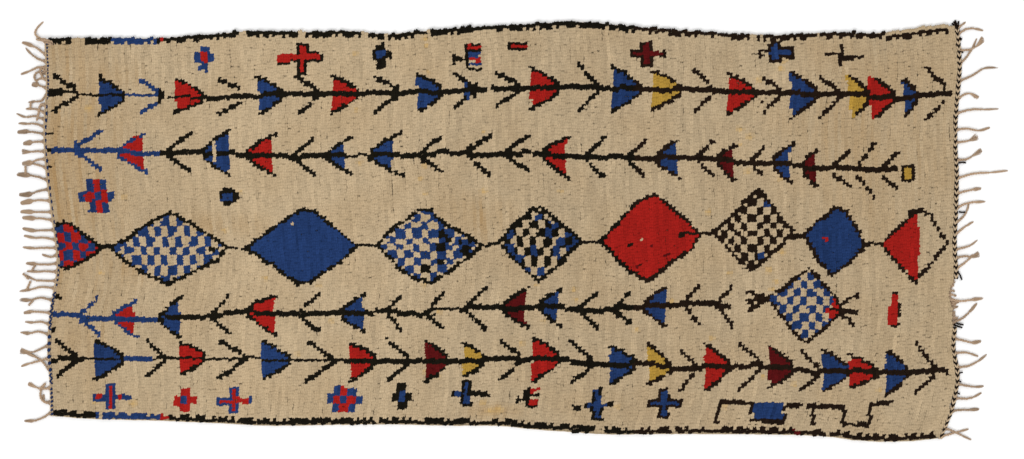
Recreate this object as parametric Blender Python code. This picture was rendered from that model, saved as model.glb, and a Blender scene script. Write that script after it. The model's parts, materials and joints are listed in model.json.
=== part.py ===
"""A hand-knotted village rug lying flat: a pile field with low selvedges, and twined ends with warp fringe.

Frame: metres, +Z up, X along the rug's length, Y across it. The origin lies under the middle of the field,
on the plane that the rug rests on. The sizes and tables are in centimetres from that origin.
"""
import math
import random
from bisect import bisect_right

import bmesh
import bpy

CM = 0.01

# Heights
PILE_TOP = 1.25
PILE_END_DROP = 0.3      # the pile rounds off at both ends
SELVEDGE_TOP = 0.5
CORD_EDGE_TOP = 0.34
CORD_RIDGE_TOP = 0.62
CORD_LUMP = 0.11         # each turn of the twining stands up by this much
STRAND_TOP = 0.45        # a bundle of plied warps lying on the floor

# Widths and lengths
LOWER_SELVEDGE = 1.3     # bare edge outside the lower border line
UPPER_SELVEDGE = 0.5
PILE_SLOPE = 0.7         # from a bare edge up to the pile
CORD_WIDTH = 1.6
STRAND_WIDTH = 0.55
STRAND_TOP_SHARE = 0.6   # its top is this share of its width
ROOT_WIDTH = 0.95        # a bundle where it leaves the cord
LEFT_TWINING = 1.15      # one turn of the twining
RIGHT_TWINING = 2.0
PIECE_GAP = 0.03
LEAST_STEP = 0.25        # sections of a cord are no closer than this
STEP_ALONG = 5.4         # sections of the field
STEP_ACROSS = 5.6
STRAND_RINGS = 8

# Outline of the field, as points (x, y)
LOWER_SIDE = (
    (-150.4, -61.9), (-136, -62.8), (-114, -63.4), (-94, -64.3), (-79, -65), (-52, -64.7), (-36, -64.6),
    (-20, -65), (-2, -65.1), (8, -66.1), (23, -67.2), (34, -67.9), (62, -67.8), (95, -68.1), (109, -68.8),
    (118, -70), (128, -70.4), (136, -70.1), (144.2, -69.3),
)
UPPER_SIDE = (
    (-152.4, 64.2), (-116, 64.3), (-106, 64.9), (-97, 65.6), (-88, 66.5), (-64, 66.4), (-51, 66.6),
    (-45, 66), (-38, 65.7), (-27, 66.7), (-10, 68), (4, 68.7), (25, 69.7), (45, 68), (57, 67), (76, 65.7),
    (90, 65.3), (108, 66.1), (124, 66), (136, 67.4), (143, 68.4), (149.9, 68.4),
)
LEFT_END = (
    (-150.4, -61.9), (-150.7, -50), (-151.4, -40), (-150.6, -27), (-148.6, -15), (-148.4, -8), (-150.1, 5),
    (-152.1, 21), (-152.7, 35), (-151.9, 48), (-152.4, 64.2),
)
RIGHT_END = (
    (144.2, -69.3), (146, -65), (148, -60), (149.4, -54), (150.1, -47.5), (148.7, -39), (149.2, -32),
    (149.6, -13), (149.1, -5), (149.6, 8), (149.8, 19), (149.3, 30), (149.6, 40), (150.8, 55), (149.9, 68.4),
)

# The worn bite in the right end, where the cord is lost, as (y, depth)
BITE = ((-32.0, 0.0), (-29.4, 0.5), (-26.6, 0.2), (-23.6, 1.3), (-20.2, 1.7), (-17.6, 0.7), (-16.2, 0.0))
BITE_REACH = 5.0

# How far the bare weave still stands out in that bite, as (y, width)
FRAYED_WEAVE = (
    (-31.6, 1.0), (-29.6, 2.8), (-27.6, 1.1), (-25.4, 1.7), (-23.4, 4.0), (-21.7, 1.7), (-20.4, 0.6),
    (-18.6, 0.6), (-16.5, 1.2),
)

# The parting in the pile where the rug was folded
CREASE_X, CREASE_SLOPE, CREASE_DEPTH = -38.0, 0.8, 0.2
CREASE_FROM, CREASE_TO = 6.0, 47.0

# Low waves in the pile's height, as (amplitude, length along, length across, phase)
WAVES = ((0.09, 61.0, 47.0, 0.4), (0.06, 27.0, 33.0, 1.9), (0.04, 13.0, 19.0, 4.1))
UNEVENNESS = 0.035
SEED = 11

# Along a strand, as (share of its length, width in strand widths, height in strand heights)
ENDINGS = {
    "plain": ((0.0, 1.3, 0.9), (0.25, 1.0, 1.0), (0.75, 1.0, 0.95), (1.0, 0.4, 0.6)),
    "knot": ((0.0, 1.3, 0.9), (0.25, 0.95, 1.0), (0.6, 1.0, 1.0), (0.75, 1.8, 1.3), (0.88, 1.4, 1.1),
             (1.0, 0.4, 0.6)),
    "brush": ((0.0, 1.3, 0.9), (0.25, 0.95, 1.0), (0.55, 1.2, 1.0), (0.75, 2.0, 1.2), (0.9, 2.5, 0.9),
              (1.0, 1.3, 0.6)),
}

# Fringe strands, as (root y, reach outward, drift along +y, bow near the root, bow near the tip, ending)
LEFT_STRANDS = (
    (63.3, 0.5, 6.6, -2.8, -2.4, "plain"), (58.8, 7.8, 4.2, 0.6, 0.5, "knot"),
    (56.5, 6.9, 4.6, -0.6, -0.5, "plain"), (54.6, 8.4, -2.3, 0.7, 0.2, "plain"),
    (52.9, 1.4, -0.9, 0.6, 0.5, "plain"), (50.6, 3.4, -1.0, 0.6, 0.8, "plain"),
    (47.4, 4.2, 0.7, 0.4, 0.4, "brush"), (45.5, 6.0, -2.6, -1.3, -0.6, "plain"),
    (42.2, 1.4, -0.8, 0.6, 0.5, "plain"), (39.4, 6.3, 1.3, 0.6, 0.5, "plain"),
    (37.2, 9.3, 2.0, 0.4, -0.5, "plain"), (34.7, 8.5, 1.2, 0.7, 0.3, "plain"),
    (32.3, 8.8, 0.7, 0.4, 0.4, "knot"), (29.8, 7.0, -0.6, 0.2, 0.1, "knot"),
    (26.5, 7.5, 0.0, 0.1, -0.1, "brush"), (24.0, 7.6, -1.5, 0.2, -0.3, "knot"),
    (21.0, 4.3, 0.8, 0.3, 0.1, "plain"), (17.0, 10.0, 2.0, 0.5, 0.3, "knot"),
    (13.9, 9.6, -1.8, 0.0, -0.5, "knot"), (10.0, 9.7, -0.8, 0.6, 0.4, "knot"),
    (6.3, 10.2, 0.1, 0.0, 0.0, "knot"), (3.5, 10.0, 0.8, 0.4, 0.2, "knot"),
    (0.3, 10.4, 0.6, -0.3, -0.6, "knot"), (-3.0, 10.4, 1.4, 0.3, -0.2, "knot"),
    (-5.7, 11.2, 0.2, 0.0, -0.2, "knot"), (-8.0, 5.0, 0.2, -0.7, -0.5, "plain"),
    (-10.9, 10.4, 0.1, -0.3, -0.2, "knot"), (-13.7, 9.9, 0.2, 0.2, 0.0, "knot"),
    (-16.7, 10.0, 2.0, -0.6, -1.0, "plain"), (-19.2, 11.6, -1.0, 0.9, 0.3, "plain"),
    (-23.2, 10.7, 0.2, 0.9, 0.0, "knot"), (-27.4, 8.8, 0.0, 0.4, 0.5, "knot"),
    (-31.2, 8.0, 0.9, 0.6, 0.0, "plain"), (-34.6, 9.3, 0.8, 0.8, -0.1, "knot"),
    (-38.3, 9.2, -1.7, -0.8, -1.2, "brush"), (-42.6, 4.6, -1.4, 0.1, 0.1, "plain"),
    (-46.5, 9.1, 0.9, 1.0, 0.9, "knot"), (-52.4, 7.3, 1.5, -0.8, -0.7, "brush"),
    (-57.4, 2.3, 2.8, -1.2, -1.0, "plain"), (-60.7, 8.8, -2.8, -0.8, -0.8, "knot"),
)
RIGHT_UPPER_STRANDS = (
    (67.8, 2.6, 2.0, 0.0, 0.0, "plain"), (65.9, 8.3, 1.0, 1.2, 1.0, "plain"),
    (60.3, 7.8, 4.1, -1.3, -1.2, "brush"), (55.9, 2.4, 2.4, -0.5, -0.5, "plain"),
    (50.1, 12.8, 4.6, 0.3, 1.2, "plain"), (44.0, 6.8, 0.4, 1.5, 1.6, "brush"),
    (39.3, 14.0, 1.5, 0.7, 0.3, "plain"), (33.8, 11.3, 0.8, 0.1, -0.8, "plain"),
    (29.6, 7.2, 2.0, -0.5, -0.5, "brush"), (23.7, 8.2, 3.3, -0.9, -0.5, "brush"),
    (17.7, 16.8, 2.5, 0.6, 0.2, "plain"), (12.6, 8.0, 1.6, 0.1, 0.2, "knot"),
    (7.7, 9.5, 2.2, 0.7, 0.5, "knot"), (3.0, 3.2, 3.5, -0.9, -0.9, "plain"),
    (-1.2, 6.0, 4.3, 0.3, 0.3, "plain"), (-6.1, 7.3, 3.1, -0.6, -0.7, "plain"),
    (-9.0, 7.7, 1.4, 0.1, -0.5, "brush"), (-12.4, 3.3, 1.6, -0.3, -0.3, "plain"),
)
FRAYED_STRANDS = (
    (-18.3, 1.2, 0.1, 0.0, 0.0, "plain"), (-19.6, 2.0, -0.5, 0.0, 0.0, "plain"),
    (-21.1, 2.6, -0.6, 0.1, 0.1, "plain"), (-22.9, 7.6, 0.0, -0.6, -0.6, "plain"),
    (-25.9, 2.2, 0.7, 0.0, 0.0, "plain"), (-30.7, 7.0, 6.0, -0.9, -0.7, "knot"),
)
RIGHT_LOWER_STRANDS = (
    (-35.8, 8.8, -1.1, -0.4, -0.7, "knot"), (-40.8, 7.8, -1.0, 0.6, 0.5, "plain"),
    (-45.5, 9.7, 4.2, -1.0, -0.8, "plain"), (-51.0, 8.7, -0.8, -0.4, -0.5, "plain"),
    (-55.7, 8.7, 1.7, -0.9, -0.9, "plain"), (-60.0, 9.0, 0.5, 0.1, 0.0, "knot"),
    (-65.8, 8.7, -4.0, 0.1, 0.1, "plain"), (-68.5, 2.6, -0.6, 0.0, 0.0, "plain"),
)

# Where the two lengths of cord start and stop along the right end
UPPER_CORD = (-16.0, 68.4)
LOWER_CORD = (-69.3, -32.0)

# Finishes, as (linear base colour, roughness)
PILE_WOOL = ((0.50, 0.36, 0.21), 0.95)
CORD_WOOL = ((0.33, 0.27, 0.22), 0.9)
BARE_WARP = ((0.46, 0.33, 0.23), 0.9)


def clear_scene():
    for obj in list(bpy.data.objects):
        bpy.data.objects.remove(obj)


def mix(a, b, share):
    return a + (b - a) * share


def smooth(points):
    """A smooth function through (place, value) points, each with the slope between its two neighbours."""
    places = [p for p, _ in points]
    values = [v for _, v in points]
    last = len(points) - 1
    slopes = []
    for i in range(last + 1):
        before, after = max(i - 1, 0), min(i + 1, last)
        slopes.append((values[after] - values[before]) / (places[after] - places[before]))

    def value(place):
        i = min(max(bisect_right(places, place) - 1, 0), last - 1)
        span = places[i + 1] - places[i]
        t = min(max((place - places[i]) / span, 0.0), 1.0)
        ends = values[i] * (1 + 2 * t) * (1 - t) ** 2 + values[i + 1] * t * t * (3 - 2 * t)
        return ends + span * (slopes[i] * t * (1 - t) ** 2 - slopes[i + 1] * t * t * (1 - t))

    return value


def straight(points, place):
    """The value at a place on straight runs through (place, value) points, held past their ends."""
    places = [p for p, _ in points]
    place = min(max(place, places[0]), places[-1])
    i = min(bisect_right(places, place), len(points) - 1)
    (p, v), (q, w) = points[i - 1], points[i]
    return mix(v, w, (place - p) / (q - p))


lower_y = smooth(LOWER_SIDE)
upper_y = smooth(UPPER_SIDE)
left_x = smooth([(y, x) for x, y in LEFT_END])
right_x = smooth([(y, x) for x, y in RIGHT_END])


def field_point(u, v):
    """A point of the field in plan, u along the rug and v across it from 0 to 1, between its four edges."""
    (x00, y00), (x10, y10) = LOWER_SIDE[0], LOWER_SIDE[-1]
    (x01, y01), (x11, y11) = UPPER_SIDE[0], UPPER_SIDE[-1]
    lower_x, upper_x = mix(x00, x10, u), mix(x01, x11, u)
    start_y, end_y = mix(y00, y01, v), mix(y10, y11, v)
    x = mix(left_x(start_y), right_x(end_y), u)
    y = mix(lower_y(lower_x), upper_y(upper_x), v) + mix(start_y, end_y, u)
    y -= mix(mix(y00, y10, u), mix(y01, y11, u), v)
    near_end = min(max(1 - (right_x(end_y) - x) / BITE_REACH, 0.0), 1.0)
    return x - straight(BITE, end_y) * near_end ** 2, y


def sections_along():
    """Shares of the length at which the field has sections: closer at its ends and across the crease."""
    start, length = LEFT_END[-1][0], RIGHT_END[-1][0] - LEFT_END[-1][0]
    crease = CREASE_X - start
    count = round(length / STEP_ALONG)
    even = [length * i / count for i in range(1, count)]
    kept = [s for s in even if abs(s - crease) > STEP_ALONG / 2 + CREASE_SLOPE]
    folded = [crease + CREASE_SLOPE * i for i in (-2, -1, 0, 1, 2)]
    ends = [0.0, PILE_SLOPE, length - BITE_REACH / 2, length - PILE_SLOPE, length]
    return sorted(s / length for s in set(kept + folded + ends))


def sections_across():
    """Shares of the width at which the field has sections: at its selvedges, and at each row of the bite."""
    low, high = RIGHT_END[0][1], RIGHT_END[-1][1]
    width = high - low
    count = round(width / STEP_ACROSS)
    bite = [y - low for y, _ in BITE]
    even = [width * i / count for i in range(1, count)]
    kept = [s for s in even if not bite[0] - STEP_ACROSS / 3 < s < bite[-1] + STEP_ACROSS / 3]
    lower = [0.0, LOWER_SELVEDGE, LOWER_SELVEDGE + PILE_SLOPE]
    upper = [width - UPPER_SELVEDGE - PILE_SLOPE, width - UPPER_SELVEDGE, width]
    return sorted(s / width for s in set(kept + bite + lower + upper))


def pile_height(x, y, chance):
    """The pile's height at a point in plan, with its waves and unevenness and the parting of the crease."""
    height = PILE_TOP + chance.uniform(-UNEVENNESS, UNEVENNESS)
    for amplitude, along, across, phase in WAVES:
        wave = math.sin(math.tau * x / along + phase) * math.sin(math.tau * y / across + 2 * phase)
        height += amplitude * wave
    if CREASE_FROM < y < CREASE_TO:
        height -= CREASE_DEPTH * max(0.0, 1 - abs(x - CREASE_X) / (2 * CREASE_SLOPE))
    return height


def top_height(i, j, last_i, last_j, pile):
    """The selvedges lie low, the pile rounds off at both ends, and the rest stands at its own height."""
    if j in (0, 1, last_j):
        return SELVEDGE_TOP
    if i in (0, last_i):
        return pile - PILE_END_DROP
    return pile


def material(name, finish):
    colour, roughness = finish
    made = bpy.data.materials.new(name)
    made.use_nodes = True
    shader = made.node_tree.nodes["Principled BSDF"]
    shader.inputs["Base Color"].default_value = (*colour, 1)
    shader.inputs["Roughness"].default_value = roughness
    shader.inputs["Metallic"].default_value = 0.0
    return made


def add_object(name, bm, finish):
    bmesh.ops.recalc_face_normals(bm, faces=bm.faces)
    mesh = bpy.data.meshes.new(name)
    bm.to_mesh(mesh)
    bm.free()
    mesh.materials.append(material(name, finish))
    obj = bpy.data.objects.new(name, mesh)
    bpy.context.scene.collection.objects.link(obj)


def build_field():
    """The knotted field: a grid moved to the rug's outline and heights, with walls and a flat underside."""
    along, across = sections_along(), sections_across()
    last_i, last_j = len(along) - 1, len(across) - 1
    chance = random.Random(SEED)
    bm = bmesh.new()
    rows = []
    for i, u in enumerate(along):
        row = []
        for j, v in enumerate(across):
            x, y = field_point(u, v)
            z = top_height(i, j, last_i, last_j, pile_height(x, y, chance))
            row.append(bm.verts.new((x * CM, y * CM, z * CM)))
        rows.append(row)
    for near, far in zip(rows, rows[1:]):
        for j in range(last_j):
            bm.faces.new((near[j], far[j], far[j + 1], near[j + 1]))
    rim = [e for e in bm.edges if e.is_boundary]
    walls = bmesh.ops.extrude_edge_only(bm, edges=rim)["geom"]
    for vert in (g for g in walls if isinstance(g, bmesh.types.BMVert)):
        vert.co.z = 0.0
    bmesh.ops.holes_fill(bm, edges=[e for e in bm.edges if e.is_boundary], sides=0)
    add_object("knotted_field", bm, PILE_WOOL)


def strand_line(strand, outward):
    """A strand's path from its root, as a function of the share of its length that gives (x, y) offsets."""
    _, reach, drift, near, far, _ = strand
    length = math.hypot(reach, drift)
    side = (-drift / length, reach / length)
    bows = (0.0, near, far, 0.0)
    out, up = [], []
    for i, bow in enumerate(bows):
        share = i / (len(bows) - 1)
        out.append((share, reach * share + side[0] * bow))
        up.append((share, drift * share + side[1] * bow))
    out_at, up_at = smooth(out), smooth(up)
    return lambda share: (outward * out_at(share), up_at(share))


def add_strand(bm, foot, root, strand, outward):
    """Runs one strand from its foot, four points of the cord's outer wall, along the floor to its tip."""
    line = strand_line(strand, outward)
    profile = ENDINGS[strand[-1]]
    widths = [(share, width) for share, width, _ in profile]
    heights = [(share, height) for share, _, height in profile]
    step = 0.5 / STRAND_RINGS
    ring = foot
    for i in range(1, STRAND_RINGS + 1):
        share = i / STRAND_RINGS
        x, y = line(share)
        (x0, y0), (x1, y1) = line(share - step), line(min(share + step, 1.0))
        half = straight(widths, share) * STRAND_WIDTH / 2 * outward / math.hypot(x1 - x0, y1 - y0)
        side_x, side_y = -(y1 - y0) * half, (x1 - x0) * half
        top = straight(heights, share) * STRAND_TOP
        new = []
        for way, z in ((-1, 0.0), (1, 0.0), (STRAND_TOP_SHARE, top), (-STRAND_TOP_SHARE, top)):
            across_x, across_y = root[0] + x + way * side_x, root[1] + y + way * side_y
            new.append(bm.verts.new((across_x * CM, across_y * CM, z * CM)))
        for a in range(4):
            b = (a + 1) % 4
            bm.faces.new((ring[a], ring[b], new[b], new[a]))
        ring = new
    bm.faces.new(ring)


def cord_places(span, feet, edge, widths, turn):
    """Places along an end at which its cord has a section: its ends, each foot of a strand, each bend of the
    field's edge, and, clear of those, each row of widths and each crest and trough of the twining."""
    low, high = span
    places = {low, high, *(y for foot in feet for y in foot)}
    twining = [turn / 2 * k for k in range(math.ceil(2 * low / turn), math.ceil(2 * high / turn))]
    for rows, least in ((edge, 0.0), (widths, LEAST_STEP), (((y, 0.0) for y in twining), LEAST_STEP)):
        for y, _ in rows:
            in_a_foot = any(a < y < b for a, b in feet)
            if low < y < high and not in_a_foot and min(abs(y - place) for place in places) > least:
                places.add(y)
    return sorted(places)


def build_end(name, outward, span, strands, widths, turn, finish):
    """One length of an end: a low cord along the field, lumpy with its twining, and its strands. outward is 1
    at the right end and -1 at the left, and widths is a table of the cord's width by y."""
    edge = [(y, x) for x, y in (field_point(max(outward, 0), v) for v in sections_across())]
    feet = [(strand[0] - ROOT_WIDTH / 2, strand[0] + ROOT_WIDTH / 2) for strand in strands]
    bm = bmesh.new()
    sections = {}
    for y in cord_places(span, feet, edge, widths, turn):
        inner = straight(edge, y) + outward * PIECE_GAP
        outer = inner + outward * straight(widths, y)
        ridge = CORD_RIDGE_TOP + CORD_LUMP * math.cos(math.tau * y / turn)
        across = (inner, inner, (inner + outer) / 2, outer, outer)
        heights = (0.0, CORD_EDGE_TOP, ridge, CORD_EDGE_TOP, 0.0)
        sections[y] = [bm.verts.new((x * CM, y * CM, z * CM)) for x, z in zip(across, heights)]
    foot_starts = {foot[0] for foot in feet}
    for (y, a), b in zip(sections.items(), list(sections.values())[1:]):
        for k in (0, 1, 2, 4):
            bm.faces.new((a[k], b[k], b[(k + 1) % 5], a[(k + 1) % 5]))
        if y not in foot_starts:
            bm.faces.new((a[3], b[3], b[4], a[4]))
    for y in span:
        bm.faces.new(sections[y])
    for strand, (start, stop) in zip(strands, feet):
        a, b = sections[start], sections[stop]
        root = ((a[4].co.x + b[4].co.x) / 2 / CM, strand[0])
        add_strand(bm, (a[4], b[4], b[3], a[3]), root, strand, outward)
    add_object(name, bm, finish)


def main():
    clear_scene()
    build_field()
    left_span = (LEFT_END[0][1], LEFT_END[-1][1])
    frayed_span = (FRAYED_WEAVE[0][0], FRAYED_WEAVE[-1][0])
    even = ((LOWER_CORD[0], CORD_WIDTH), (UPPER_CORD[1], CORD_WIDTH))
    build_end("left_end_cord", -1, left_span, LEFT_STRANDS, even, LEFT_TWINING, CORD_WOOL)
    right = (
        ("right_end_cord_upper", UPPER_CORD, RIGHT_UPPER_STRANDS, even, CORD_WOOL),
        ("right_end_frayed", frayed_span, FRAYED_STRANDS, FRAYED_WEAVE, BARE_WARP),
        ("right_end_cord_lower", LOWER_CORD, RIGHT_LOWER_STRANDS, even, CORD_WOOL),
    )
    for name, span, strands, widths, finish in right:
        build_end(name, 1, span, strands, widths, RIGHT_TWINING, finish)


main()
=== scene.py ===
"""A hand-knotted village rug lying flat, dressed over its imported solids.

The tables are in centimetres from the origin: x along the rug, y across it, as in the frame. The pile is
real yarn, knot by knot, in the colours of the rug's own chart. Both ends are twined yarn with warp fringe.
"""
import json
import math
from bisect import bisect_right

import bpy
import numpy as np
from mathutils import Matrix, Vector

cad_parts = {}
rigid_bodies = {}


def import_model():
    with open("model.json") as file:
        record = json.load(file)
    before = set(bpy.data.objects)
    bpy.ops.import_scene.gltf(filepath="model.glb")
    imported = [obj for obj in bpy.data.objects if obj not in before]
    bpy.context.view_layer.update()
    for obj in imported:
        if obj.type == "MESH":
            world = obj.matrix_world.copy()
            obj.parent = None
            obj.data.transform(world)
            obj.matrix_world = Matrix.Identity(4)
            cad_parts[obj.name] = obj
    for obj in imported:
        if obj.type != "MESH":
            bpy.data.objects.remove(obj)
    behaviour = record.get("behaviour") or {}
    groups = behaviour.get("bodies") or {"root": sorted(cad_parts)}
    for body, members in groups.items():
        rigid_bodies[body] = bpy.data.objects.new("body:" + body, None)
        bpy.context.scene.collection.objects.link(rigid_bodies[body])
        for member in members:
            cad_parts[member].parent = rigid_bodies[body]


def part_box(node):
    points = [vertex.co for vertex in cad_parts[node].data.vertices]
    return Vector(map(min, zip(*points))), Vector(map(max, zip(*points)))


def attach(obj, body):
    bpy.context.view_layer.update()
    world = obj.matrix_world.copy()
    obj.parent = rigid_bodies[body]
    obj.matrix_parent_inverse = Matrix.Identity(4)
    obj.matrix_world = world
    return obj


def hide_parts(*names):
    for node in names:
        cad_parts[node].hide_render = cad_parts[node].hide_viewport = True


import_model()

bl_info = {
    "name": "Hand-knotted village rug",
    "version": (1, 0, 0),
    "blender": (4, 5, 0),
    "location": "View3D > Sidebar > Rug",
    "description": "Knots the pile and twines the ends of a long wool rug over its packed solids",
    "category": "Mesh",
}

CM = 0.01
PILE_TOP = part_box("knotted_field")[1][2]

# What the photograph takes in, in metres: its width, its middle, and the camera's height over the pile
VIEW_WIDTH = 3.4133
VIEW_MIDDLE = (0.0233, 0.005)
CAMERA_HEIGHT = 7.0

# The floor's half width, and how far it lies below the rug's underside, in metres
FLOOR_HALF, FLOOR_GAP = 40.0, 0.0004

# Outline of the field, as points (x, y), and the worn bite in its right end, as (y, depth)
LOWER_SIDE = (
    (-150.4, -61.9), (-136, -62.8), (-114, -63.4), (-94, -64.3), (-79, -65), (-52, -64.7), (-36, -64.6),
    (-20, -65), (-2, -65.1), (8, -66.1), (23, -67.2), (34, -67.9), (62, -67.8), (95, -68.1), (109, -68.8),
    (118, -70), (128, -70.4), (136, -70.1), (144.2, -69.3),
)
UPPER_SIDE = (
    (-152.4, 64.2), (-116, 64.3), (-106, 64.9), (-97, 65.6), (-88, 66.5), (-64, 66.4), (-51, 66.6),
    (-45, 66), (-38, 65.7), (-27, 66.7), (-10, 68), (4, 68.7), (25, 69.7), (45, 68), (57, 67), (76, 65.7),
    (90, 65.3), (108, 66.1), (124, 66), (136, 67.4), (143, 68.4), (149.9, 68.4),
)
LEFT_END = (
    (-150.4, -61.9), (-150.7, -50), (-151.4, -40), (-150.6, -27), (-148.6, -15), (-148.4, -8), (-150.1, 5),
    (-152.1, 21), (-152.7, 35), (-151.9, 48), (-152.4, 64.2),
)
RIGHT_END = (
    (144.2, -69.3), (146, -65), (148, -60), (149.4, -54), (150.1, -47.5), (148.7, -39), (149.2, -32),
    (149.6, -13), (149.1, -5), (149.6, 8), (149.8, 19), (149.3, 30), (149.6, 40), (150.8, 55),
    (149.9, 68.4),
)
BITE = ((-32, 0), (-29.4, 0.5), (-26.6, 0.2), (-23.6, 1.3), (-20.2, 1.7), (-17.6, 0.7), (-16.2, 0))
BITE_REACH = 5.0

# The parting in the pile, as points (x, y), and the pile's low waves, as (height, length, width, phase)
CREASE = ((-38.4, 47), (-38, 30), (-37.6, 6))
WAVES = ((0.09, 61, 47, 0.4), (0.06, 27, 33, 1.9), (0.04, 13, 19, 4.1))

# What the rows and knots are counted from
FIELD_LENGTH, FIELD_WIDTH = 302.0, 131.0

# Yarns of the chart. DARK is black for most of the length and a sun-browned black beyond DARK_TURNS.
CREAM, BLACK, BROWN, INDIGO, RED, MAROON, YELLOW, DARK = range(8)
DARK_TURNS = 43.0

# How the chart's lines are drawn: their widths, half the height of an arrow's blunt nose, how far its edges
# bow out, how far from the spine an arm starts that stops short of it, and where along it an arm bends
OUTLINE, ARM_WIDTH = 1.2, 1.2
ARROW_SHOULDER, ARROW_BULGE = 1.4, 0.45
ARM_GAP, ARM_BEND = 2.6, 0.85

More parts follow.
